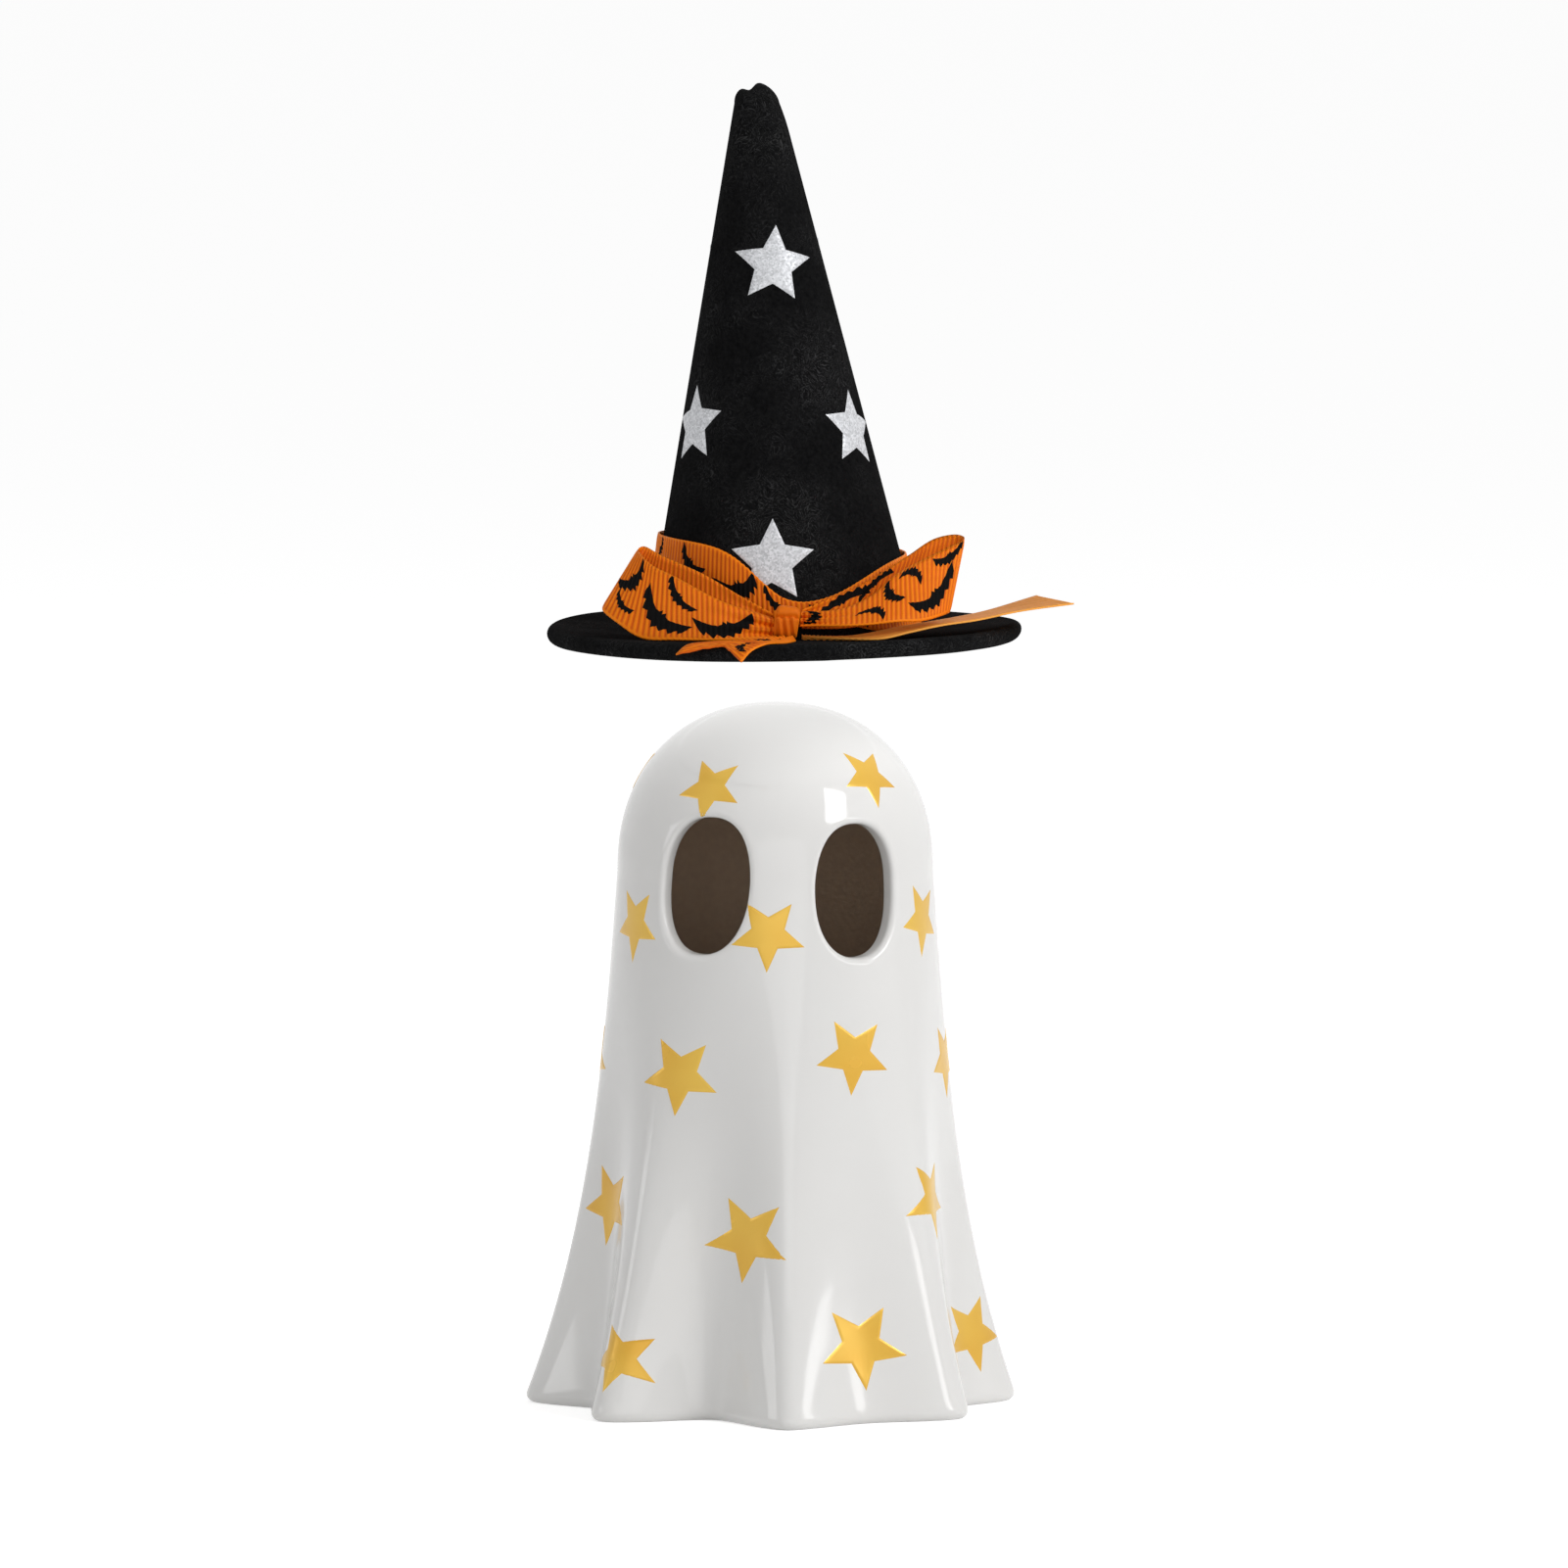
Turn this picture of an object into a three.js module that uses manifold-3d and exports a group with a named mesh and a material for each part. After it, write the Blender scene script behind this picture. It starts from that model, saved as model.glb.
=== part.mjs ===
import * as THREE from 'three';
import { mergeVertices } from 'three/addons/utils/BufferGeometryUtils.js';
import Module from 'manifold-3d';

const wasm = await Module();
wasm.setup();

// Ceramic ghost that lights up, with a loose felt hat.
// Millimetres, +Z up, the face looks along -Y. Azimuths run from the front towards +X.

// Ghost body
const ghostHeight = 150;
const headRadius = 33.8;
const domeDepth = 36;          // from the crown down to where the skirt starts
const domePower = 2.2;         // superellipse exponent of the head
const skirtFlare = 8;          // steady widening of the skirt
const hemBell = 11.2;          // extra widening that turns out at the hem
const bellPower = 3.1;
const hemLean = -1;            // the hem sits a little to the left of the head
const hemRounding = 2.5;
const wall = 4;
const ridgeFill = 2.5;         // extra clay behind each fold's ridge at the hem
const footRim = 4.5;           // flat width of the rim that it stands on
const footRecess = 5;
const foldSharpness = 1.5;     // exponent: 2 is a sine wave, 1 a crease
const foldSoftness = 0.15;
const folds = [                // each ridge, and the depth of the valley that follows it
  { azimuth: -88.5, valley: 12 },
  { azimuth: -44.4, valley: 16 },
  { azimuth: 5, valley: 7 },
  { azimuth: 51.6, valley: 10 },
  { azimuth: 92, valley: 11 },
  { azimuth: 137, valley: 11 },
  { azimuth: 182, valley: 11 },
  { azimuth: 226.5, valley: 11 },
];

// Oval eye holes
const eyes = [
  { azimuth: -25.5, centreZ: 113, halfWidth: 9.5, halfHeight: 14.6 },
  { azimuth: 31.7, centreZ: 112, halfWidth: 9.3, halfHeight: 14 },
];

// Plug-in light unit
const plugHoleRadius = 22;
const slip = 0.3;              // clearance between pieces that seat in each other
const gripRingWall = 1.6;
const gripRingRise = 1.5;      // how far the ring stands above the ghost's floor
const gripRibs = 3;
const gripRibDepth = 0.5;
const flangeOverlap = 2.6;
const baseThickness = 2.7;
const unitWall = 1.6;
const unitDepth = 18;          // inside height of the housing
const groundGap = 2;           // height of the unit's underside above the table

const cellDiameter = 11.6;
const cellLength = 5.4;
const cellCount = 3;
const cellEdge = 0.3;          // rounded edge of the can
const cellGroove = 0.7;        // insulating groove round the cap
const cellStep = 0.6;          // height of the cap above the can's crimped edge
const cellCapInset = 1.7;      // how much smaller than the can the cap is, on the radius
const bayOffsetX = -1.5;
const bayOffsetY = 3;
const bayWall = 1.2;
const springLength = 2.6;
const springWire = 0.35;       // radius of the wire
const springTurns = 3;
const springTaper = 1.6;       // radius lost from the wide end to the narrow one
const contactThickness = 0.4;
const contactWidth = 7;

const doorLip = 1.4;           // how far the door overlaps the bay on each side
const doorLug = 6;             // extra length that takes the screw
const doorThickness = 1.2;

const screwRadius = 1;
const screwHeadRadius = 2;
const screwHeadHeight = 1.1;
const screwLength = 7;         // depth of its hole
const screwPoint = 0.5;        // height of its bevelled end, and the room left below it
const screwSlotWidth = 0.6;
const screwSlotLength = 2.2;
const headSeat = 0.1;          // gap below a screw's head
const bossWall = 1.3;
const bossDip = 8;             // degrees that the cover's screws lie in front of the side axis

const boardThickness = 1.2;
const coverThickness = 1.6;
const collarHeight = 2.5;
const collarWall = 1.4;
const domeRadius = 10;
const domeWall = 1.2;
const domeSkirt = 4;
const ledRadius = 2.5;
const ledFlange = 0.4;
const ledFlangeHeight = 1;
const ledHeight = 8.6;

const switchLength = 8.6;
const switchWidth = 4.4;
const switchHeight = 3.6;
const switchOffsetY = -11.5;
const knobLength = 3;
const knobWidth = 2;
const knobDrop = 1.2;          // how far the knob stands out below the unit
const knobTravel = 3;
const knobGrooves = [-0.9, 0, 0.9];
const knobGrooveWidth = 0.5;
const knobGrooveDepth = 0.4;
const leadRadius = 0.55;
const leadSpacing = 2.2;       // each lead's distance from the middle of the switch
const leadSpread = 1.3;        // how much further out it reaches the board

// Felt hat
const brimRadius = 50.6;
const brimThickness = 3.6;
const coneFootRadius = 29;
const coneSlope = 0.2143;      // radius lost for each millimetre of height
const coneLean = -0.05;        // sideways shift for each millimetre of height
const coneHeight = 116.3;
const coneRounding = 4.4;      // height of the rounded tip
const tipNotch = 1.5;          // radius of the notch between the tip's two lobes
const tipNotchSide = 1.6;      // how far it lies to the left
const tipNotchDrop = 0.2;
const feltThickness = 1.8;
const hatSeatGap = 0.45;
const hatRaise = 24.4;         // the hat is shown lifted off the head by this much
const hatShift = 1.9;          // and this much to the right of where it seats
const feltSeam = 0.2;

// Ribbon of the band and the bow
const ribbonWidth = 16;
const ribbonThickness = 0.5;
const bandTilt = 2.1;          // the band stands higher on the left
const bandTop = 18.4;          // mean height of its top edge above the brim
const bandDip = 10.3;          // how far the knot draws the top edge down
const bandLift = 0.6;          // least height of its lower edge above the brim
const bandStandOff = 0.5;
const bandLoose = 0.8;         // extra stand-off along the top edge
const bandDipLeft = 22;        // degrees over which that dip fades, on each side
const bandDipRight = 38;
const knotAzimuth = 6;
const knotWidth = 5;
const knotHeight = 6.4;
const knotDepth = 4.6;
const knotEdge = 0.6;          // rounding of its edges
const knotSide = 0.7;          // its place: to the right, forward of the hat's axis, above the brim
const knotForward = 33.2;
const knotLift = 0.5;

const clay = { color: 0xf3f2ee, roughness: 0.12, metalness: 0 };
const felt = { color: 0x121212, roughness: 1, metalness: 0 };
const ribbon = { color: 0xe87817, roughness: 0.75, metalness: 0 };
const whitePlastic = { color: 0xe9e7e0, roughness: 0.45, metalness: 0 };
const rubber = { color: 0x2a2a2a, roughness: 0.9, metalness: 0 };
const frosted = { color: 0xf4efdc, roughness: 0.6, metalness: 0 };
const steel = { color: 0xb9bcc0, roughness: 0.3, metalness: 1 };
const board = { color: 0x1f6b3a, roughness: 0.55, metalness: 0 };
const black = { color: 0x1b1b1c, roughness: 0.5, metalness: 0 };
const redLead = { color: 0xb02a22, roughness: 0.5, metalness: 0 };

const radians = THREE.MathUtils.degToRad;
const sink = 0.5;              // how far two forms that are joined run into each other
const past = 1;                // how far a cutter runs past the face that it cuts
const group = new THREE.Group();
const hat = new THREE.Group();
group.add(hat);

function addPiece(name, geometry, look, parent = group) {
  const mesh = new THREE.Mesh(geometry, new THREE.MeshStandardMaterial(look));
  mesh.name = name;
  parent.add(mesh);
  return mesh;
}

// Booleans on closed meshes
function solidFrom(geometry) {
  const bare = geometry.clone();
  bare.deleteAttribute('normal');
  bare.deleteAttribute('uv');
  const merged = mergeVertices(bare, 1e-4);
  const mesh = new wasm.Mesh({
    numProp: 3,
    vertProperties: new Float32Array(merged.attributes.position.array),
    triVerts: new Uint32Array(merged.index.array),
  });
  return new wasm.Manifold(mesh);
}

function geometryFrom(solid) {
  const mesh = solid.getMesh();
  const geometry = new THREE.BufferGeometry();
  geometry.setAttribute('position', new THREE.BufferAttribute(new Float32Array(mesh.vertProperties), 3));
  geometry.setIndex(new THREE.BufferAttribute(new Uint32Array(mesh.triVerts), 1));
  geometry.computeVertexNormals();
  return geometry;
}

function joined(...geometries) {
  return geometryFrom(geometries.map(solidFrom).reduce((all, next) => all.add(next)));
}

function cut(base, ...cutters) {
  return geometryFrom(cutters.map(solidFrom).reduce((left, next) => left.subtract(next), solidFrom(base)));
}

// Turned and plain forms that stand on a given height
function disc(radius, bottom, top, sides = 32) {
  const geometry = new THREE.CylinderGeometry(radius, radius, top - bottom, sides);
  return geometry.rotateX(Math.PI / 2).translate(0, 0, (top + bottom) / 2);
}

function block(sizeX, sizeY, bottom, top, x = 0, y = 0) {
  return new THREE.BoxGeometry(sizeX, sizeY, top - bottom).translate(x, y, (top + bottom) / 2);
}

function turned(points, sides = 32) {
  const profile = points.map(([radius, height]) => new THREE.Vector2(radius, height));
  return new THREE.LatheGeometry(profile, sides).rotateX(Math.PI / 2);
}

function ring(innerRadius, outerRadius, bottom, top, sides = 32) {
  const corners = [[innerRadius, bottom], [outerRadius, bottom], [outerRadius, top], [innerRadius, top]];
  return turned([...corners, corners[0]], sides);
}

// A closed skin through rings of points, from the lowest up, with a middle point at each end
function loft(rings, bottomPoint, topPoint) {
  const sides = rings[0].length;
  const points = [...rings.flat(), bottomPoint, topPoint];
  const bottomIndex = points.length - 2;
  const topIndex = points.length - 1;
  const faces = [];
  for (let side = 0; side < sides; side += 1) {
    const next = (side + 1) % sides;
    faces.push(bottomIndex, next, side);
    for (let level = 0; level + 1 < rings.length; level += 1) {
      const low = level * sides;
      const high = low + sides;
      faces.push(low + side, low + next, high + side, low + next, high + next, high + side);
    }
    const last = (rings.length - 1) * sides;
    faces.push(last + side, last + next, topIndex);
  }
  const geometry = new THREE.BufferGeometry().setFromPoints(points);
  geometry.setIndex(faces);
  geometry.computeVertexNormals();
  return geometry;
}

// Ghost surface
const skirtHeight = ghostHeight - domeDepth;

function headRadiusAt(depth, radius, height) {
  const rise = Math.max(0, 1 - depth / height);
  return radius * (1 - rise ** domePower) ** (1 / domePower);
}

function headDepthAt(radius) {
  return domeDepth * (1 - (1 - (radius / headRadius) ** domePower) ** (1 / domePower));
}

function foldAt(azimuth) {
  const count = folds.length;
  for (let index = 0; index < count; index += 1) {
    const start = folds[index].azimuth;
    const end = index + 1 < count ? folds[index + 1].azimuth : folds[0].azimuth + 360;
    const turn = THREE.MathUtils.euclideanModulo(azimuth - start, 360);
    if (turn < end - start) {
      const wave = Math.sin(Math.PI * turn / (end - start));
      const soft = (wave ** 2 + foldSoftness ** 2) ** (foldSharpness / 2) - foldSoftness ** foldSharpness;
      return { valley: folds[index].valley, share: Math.min(1, soft) };
    }
  }
  return { valley: folds[0].valley, share: 0 };
}

function skirtShare(z) {
  return Math.max(0, (skirtHeight - z) / skirtHeight);
}

function outerRadiusAt(z, azimuth) {
  if (z >= skirtHeight) return headRadiusAt(ghostHeight - z, headRadius, domeDepth);
  const share = skirtShare(z);
  const fold = foldAt(azimuth);
  return headRadius + skirtFlare * share + hemBell * share ** bellPower - fold.valley * share ** 2 * fold.share;
}

function innerRadiusAt(z, azimuth) {
  if (z >= skirtHeight) return headRadiusAt(ghostHeight - wall - z, headRadius - wall, domeDepth - wall);
  const fold = foldAt(azimuth);
  return outerRadiusAt(z, azimuth) - wall - ridgeFill * skirtShare(z) ** 2 * (1 - fold.share) ** 2;
}

function pointAt(radius, azimuth, z) {
  const turn = radians(azimuth);
  const shift = hemLean * skirtShare(z) ** 2;
  return new THREE.Vector3(shift + radius * Math.sin(turn), -radius * Math.cos(turn), z);
}

// Azimuths that share each fold evenly, so that ridges and valleys are kept
function azimuthsAround(stepsPerFold) {
  return folds.flatMap((fold, index) => {
    const start = fold.azimuth;
    const end = index + 1 < folds.length ? folds[index + 1].azimuth : folds[0].azimuth + 360;
    return Array.from({ length: stepsPerFold }, (_, step) => start + (end - start) * step / stepsPerFold);
  });
}

function levels(from, to, count, bend = 1) {
  return Array.from({ length: count }, (_, step) => from + (to - from) * (step / (count - 1)) ** bend);
}

function domeLevels(top, depth, count) {
  return Array.from({ length: count }, (_, step) => {
    const turn = Math.PI / 2 * (step + 1) / (count + 0.5);
    return top - depth * (1 - Math.sin(turn));
  });
}

function ghostShell() {
  const around = azimuthsAround(9);
  const insetAt = (z) => {
    const left = Math.max(0, hemRounding - z);
    return hemRounding - Math.sqrt(hemRounding ** 2 - left ** 2);
  };
  const heights = [0, 0.3 * hemRounding, ...levels(hemRounding, skirtHeight, 12),
    ...domeLevels(ghostHeight, domeDepth, 7)];
  const outerRings = heights.map((z) => around.map((azimuth) => (
    pointAt(outerRadiusAt(z, azimuth) - insetAt(z), azimuth, z))));
  const outside = loft(outerRings, pointAt(0, 0, 0), new THREE.Vector3(0, 0, ghostHeight));

  const aroundInside = azimuthsAround(5);
  const floorTop = footRecess + wall;
  const insideTop = ghostHeight - wall;
  const innerHeights = [...levels(floorTop, skirtHeight, 7), ...domeLevels(insideTop, domeDepth - wall, 5)];
  const innerRings = innerHeights.map((z) => aroundInside.map((azimuth) => (
    pointAt(innerRadiusAt(z, azimuth), azimuth, z))));
  const inside = loft(innerRings, pointAt(0, 0, floorTop), new THREE.Vector3(0, 0, insideTop));

  const recessRings = [-past, footRecess].map((z) => aroundInside.map((azimuth) => (
    pointAt(outerRadiusAt(0, azimuth) - hemRounding - footRim, azimuth, 0).setZ(z))));
  const recess = loft(recessRings, pointAt(0, 0, 0).setZ(-past), pointAt(0, 0, 0).setZ(footRecess));

  const plugHole = disc(plugHoleRadius, footRecess - past, floorTop + past);
  return cut(outside, inside, recess, plugHole, ...eyes.map(eyeCutter));
}

// An oval punch that points at the ghost's axis
function eyeCutter({ azimuth, centreZ, halfWidth, halfHeight }) {
  const surface = outerRadiusAt(centreZ, azimuth);
  const punch = disc(1, surface - 3 * wall, surface + 3 * wall);
  punch.scale(halfWidth, halfHeight, 1);
  punch.rotateX(Math.PI / 2);
  return punch.rotateZ(radians(azimuth)).translate(0, 0, centreZ);
}

addPiece('ghost_shell', ghostShell(), clay);

// Heights of the light unit, from its underside up
const unitBottom = groundGap;
const flangeTop = footRecess - slip;
const baseTop = unitBottom + baseThickness;
const housingTop = baseTop + unitDepth;
const coverBottom = housingTop + slip;
const coverTop = coverBottom + coverThickness;
const housingRadius = plugHoleRadius - slip - gripRingWall - slip;
const housingInside = housingRadius - unitWall;

const bayLength = cellCount * cellLength + (cellCount + 3) * slip + 2 * contactThickness + springLength;
const bayWidth = cellDiameter + 2 * slip;
const bayTop = baseTop + cellDiameter + slip;
const cellCentreZ = unitBottom + doorThickness + 2 * slip + cellDiameter / 2;
const boardBottom = Math.max(bayTop, cellCentreZ + cellDiameter / 2) + slip;
const boardTop = boardBottom + boardThickness;

const doorLength = bayLength + 2 * doorLip + doorLug;
const doorWidth = bayWidth + 2 * doorLip;
const doorCentreX = bayOffsetX + doorLug / 2;
const doorScrewX = bayOffsetX + bayLength / 2 + bayWall + bossWall + screwRadius + slip;
const bossRadius = screwRadius + slip + bossWall;
const coverBossReach = housingInside - bossRadius + unitWall / 2;
const coverBosses = [180 + bossDip, 360 - bossDip].map((turn) => (
  [coverBossReach * Math.cos(radians(turn)), coverBossReach * Math.sin(radians(turn))]));

function gripRing() {
  const outer = plugHoleRadius - slip;
  const inner = outer - gripRingWall;
  const bottom = flangeTop + slip;
  const top = footRecess + wall + gripRingRise;
  const ribPitch = (top - bottom) / gripRibs;
  const outline = [[inner, bottom]];
  for (let rib = 0; rib < gripRibs; rib += 1) {
    const foot = bottom + rib * ribPitch;
    outline.push([outer - gripRibDepth, foot], [outer, foot + ribPitch / 2]);
  }
  outline.push([outer - gripRibDepth, top], [inner, top], [inner, bottom]);
  return turned(outline);
}

function boss(x, y, bottom, top) {
  return disc(bossRadius, bottom, top, 20).translate(x, y, 0);
}

function screwHole(x, y, bottom, top) {
  return disc(screwRadius + slip, bottom, top, 16).translate(x, y, 0);
}

function unitHousing() {
  const flange = disc(plugHoleRadius + flangeOverlap, unitBottom, flangeTop);
  const cup = disc(housingRadius, unitBottom, housingTop);
  const hollow = disc(housingInside, baseTop, housingTop + past);
  const bayOutside = block(bayLength + 2 * bayWall, bayWidth + 2 * bayWall, baseTop - sink, bayTop,
    bayOffsetX, bayOffsetY);
  const bosses = coverBosses.map(([x, y]) => boss(x, y, baseTop - sink, housingTop));
  const doorBossTop = unitBottom + screwLength + unitWall;
  const doorBoss = boss(doorScrewX, bayOffsetY, baseTop - sink, doorBossTop);
  const body = joined(cut(joined(flange, cup), hollow), bayOutside, doorBoss, ...bosses);
  const doorSeat = block(doorLength + 2 * slip, doorWidth + 2 * slip, unitBottom - past,
    unitBottom + doorThickness + slip, doorCentreX, bayOffsetY);
  const bayInside = block(bayLength, bayWidth, unitBottom, bayTop + past, bayOffsetX, bayOffsetY);
  const knobSlot = block(knobLength + knobTravel + 2 * slip, knobWidth + 2 * slip, unitBottom - past,
    baseTop + past, 0, switchOffsetY);
  const coverHoles = coverBosses.map(([x, y]) => screwHole(x, y, housingTop - screwLength, housingTop + past));
  const doorHole = screwHole(doorScrewX, bayOffsetY, unitBottom, unitBottom + screwLength);
  return cut(body, doorSeat, bayInside, knobSlot, doorHole, ...coverHoles);
}

function unitCover() {
  const lid = disc(housingRadius, coverBottom, coverTop);
  const collar = ring(domeRadius + slip, domeRadius + slip + collarWall, coverTop - sink, coverTop + collarHeight);
  const ledHole = disc(ledRadius + ledFlange + slip, coverBottom - past, coverTop + past, 24);
  const holes = coverBosses.map(([x, y]) => screwHole(x, y, coverBottom - past, coverTop + past));
  return cut(joined(lid, collar), ledHole, ...holes);
}

function diffuserDome() {
  const bottom = coverTop + slip;
  const shoulder = bottom + domeSkirt;
  const inner = domeRadius - domeWall;
  const arc = (radius, turns) => turns.map((turn) => (
    [radius * Math.cos(radians(turn)), shoulder + radius * Math.sin(radians(turn))]));
  return turned([[0, shoulder + inner], ...arc(inner, levels(75, 0, 6)), [inner, bottom],
    [domeRadius, bottom], ...arc(domeRadius, levels(0, 75, 6)), [0, shoulder + domeRadius]], 28);
}

function circuitBoard() {
  const notches = coverBosses.map(([x, y]) => (
    disc(bossRadius + slip, boardBottom - past, boardTop + past, 20).translate(x, y, 0)));
  return cut(disc(housingInside - slip, boardBottom, boardTop), ...notches);
}

function led() {
  const bottom = boardTop + slip;
  const shoulder = bottom + ledHeight - ledRadius;
  const tip = levels(0, 90, 6).map((turn) => (
    [ledRadius * Math.cos(radians(turn)), shoulder + ledRadius * Math.sin(radians(turn))]));
  tip[tip.length - 1][0] = 0;
  const flangeRadius = ledRadius + ledFlange;
  const flangeEnd = bottom + ledFlangeHeight;
  return turned([[0, bottom], [flangeRadius, bottom], [flangeRadius, flangeEnd], [ledRadius, flangeEnd], ...tip], 16);
}

// A button cell on its side: can, insulating groove and cap
function cell(centreX) {
  const radius = cellDiameter / 2;
  const half = cellLength / 2;
  const crimp = half - cellStep;
  const capRadius = radius - cellCapInset;
  const outline = [[0, -half], [radius - cellEdge, -half], [radius, cellEdge - half], [radius, crimp - cellGroove],
    [radius - cellGroove, crimp], [capRadius, crimp], [capRadius, half], [0, half]];
  return turned(outline, 20).rotateY(Math.PI / 2).translate(centreX, bayOffsetY, cellCentreZ);
}

// Cone spring of round wire, its wide end on the spring plate
function contactSpring(startX) {
  const steps = springTurns * 8;
  const points = levels(0, 1, steps + 1).map((share) => {
    const turn = share * springTurns * 2 * Math.PI;
    const radius = contactWidth / 2 - 2 * springWire - springTaper * share;
    const along = startX + springWire + (springLength - 2 * springWire) * share;
    return new THREE.Vector3(along, bayOffsetY + radius * Math.cos(turn), cellCentreZ + radius * Math.sin(turn));
  });
  const section = new THREE.Shape().absarc(0, 0, springWire, 0, 2 * Math.PI);
  return new THREE.ExtrudeGeometry(section, {
    extrudePath: new THREE.CatmullRomCurve3(points), steps, curveSegments: 5, bevelEnabled: false,
  });
}

function contactPlate(x) {
  return block(contactThickness, contactWidth, unitBottom + doorThickness + 2 * slip, bayTop - slip, x, bayOffsetY);
}

function batteryDoor() {
  const plate = block(doorLength, doorWidth, unitBottom, unitBottom + doorThickness, doorCentreX, bayOffsetY);
  return cut(plate, screwHole(doorScrewX, bayOffsetY, unitBottom - past, unitBottom + doorThickness + past));
}

// Pan-head screw with a cross slot, its head upward from height 0
function screw() {
  const shankEnd = screwPoint - screwLength;
  const outline = [[0, shankEnd], [screwRadius * 0.6, shankEnd], [screwRadius, shankEnd + screwPoint],
    [screwRadius, 0], [screwHeadRadius, 0], [screwHeadRadius, screwHeadHeight / 2],
    [screwHeadRadius * 0.7, screwHeadHeight], [0, screwHeadHeight]];
  const slotBottom = screwHeadHeight / 2;
  const slotTop = screwHeadHeight + past;
  return cut(turned(outline, 14), block(screwSlotLength, screwSlotWidth, slotBottom, slotTop),
    block(screwSlotWidth, screwSlotLength, slotBottom, slotTop));
}

addPiece('grip_ring', gripRing(), rubber);
addPiece('unit_housing', unitHousing(), whitePlastic);
addPiece('unit_cover', unitCover(), whitePlastic);
addPiece('diffuser_dome', diffuserDome(), frosted);
addPiece('circuit_board', circuitBoard(), board);
addPiece('led', led(), frosted);

const bayStart = bayOffsetX - bayLength / 2;
const springPlateX = bayStart + slip + contactThickness / 2;
const springStart = springPlateX + contactThickness / 2 + slip;
const firstCellX = springStart + springLength + slip + cellLength / 2;
addPiece('spring_plate', contactPlate(springPlateX), steel);
addPiece('contact_spring', contactSpring(springStart), steel);
for (let index = 0; index < cellCount; index += 1) {
  addPiece(`cell_${index + 1}`, cell(firstCellX + index * (cellLength + slip)), steel);
}
const farPlateX = firstCellX + (cellCount - 0.5) * cellLength + cellCount * slip + contactThickness / 2;
addPiece('contact_plate', contactPlate(farPlateX), steel);

addPiece('battery_door', batteryDoor(), whitePlastic);
const doorScrew = addPiece('door_screw', screw().rotateX(Math.PI), steel);
doorScrew.position.set(doorScrewX, bayOffsetY, unitBottom - headSeat);
coverBosses.forEach(([x, y], index) => {
  addPiece(`cover_screw_${index + 1}`, screw(), steel).position.set(x, y, coverTop + headSeat);
});

// Slide switch and the two leads that rise from it to the board
const switchBottom = baseTop + slip;
const switchTop = switchBottom + switchHeight;
const trackTop = switchTop - unitWall / 2;
const knobStartX = -knobTravel / 2;

function switchFrame() {
  const frame = block(switchLength, switchWidth, switchBottom, switchTop, 0, switchOffsetY);
  const track = block(knobLength + knobTravel + 2 * slip, knobWidth + 2 * slip, switchBottom - past,
    trackTop, 0, switchOffsetY);
  return cut(frame, track);
}

function switchKnob() {
  const bottom = unitBottom - knobDrop;
  const stem = block(knobLength, knobWidth, bottom, trackTop - slip, knobStartX, switchOffsetY);
  const grooves = knobGrooves.map((offset) => block(knobGrooveWidth, knobWidth + past, bottom - past,
    bottom + knobGrooveDepth, knobStartX + offset, switchOffsetY));
  return cut(stem, ...grooves);
}

function switchLead(side) {
  const start = new THREE.Vector3(side * leadSpacing, switchOffsetY, switchTop + slip);
  const end = new THREE.Vector3(side * (leadSpacing + leadSpread), switchOffsetY, boardBottom - slip);
  const rise = (end.z - start.z) / 3;
  const route = new THREE.CatmullRomCurve3([
    start,
    start.clone().add(new THREE.Vector3(0, 0, rise)),
    end.clone().sub(new THREE.Vector3(0, 0, rise)),
    end,
  ]);
  const section = new THREE.Shape().absarc(0, 0, leadRadius, 0, 2 * Math.PI);
  return new THREE.ExtrudeGeometry(section, {
    extrudePath: route, steps: 8, curveSegments: 4, bevelEnabled: false,
  });
}

addPiece('switch_frame', switchFrame(), steel);
addPiece('switch_knob', switchKnob(), black);
addPiece('switch_lead_1', switchLead(-1), redLead);
addPiece('switch_lead_2', switchLead(1), black);

// Hat: lowered by hatRaise, the brim's hole rests on the head where the head is nearly as wide
const brimHoleRadius = coneFootRadius - feltThickness;
const hatSeatZ = ghostHeight - headDepthAt(brimHoleRadius - hatSeatGap);
hat.position.set(hatShift, 0, hatSeatZ + hatRaise);

function hatBrim() {
  const half = brimThickness / 2;
  const edge = levels(-90, 90, 5).map((turn) => (
    [brimRadius - half + half * Math.cos(radians(turn)), half + half * Math.sin(radians(turn))]));
  return turned([[brimHoleRadius, 0], ...edge, [brimHoleRadius, brimThickness], [brimHoleRadius, 0]], 60);
}

function coneRadiusAt(height) {
  const straightTop = coneHeight - coneRounding;
  if (height <= straightTop) return coneFootRadius - coneSlope * height;
  const share = (height - straightTop) / coneRounding;
  return (coneFootRadius - coneSlope * straightTop) * Math.sqrt(Math.max(0, 1 - share ** 2));
}

function coneRing(radius, height, sides) {
  return Array.from({ length: sides }, (_, side) => {
    const turn = 2 * Math.PI * side / sides;
    return new THREE.Vector3(coneLean * height + radius * Math.cos(turn), radius * Math.sin(turn), height);
  });
}

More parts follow.
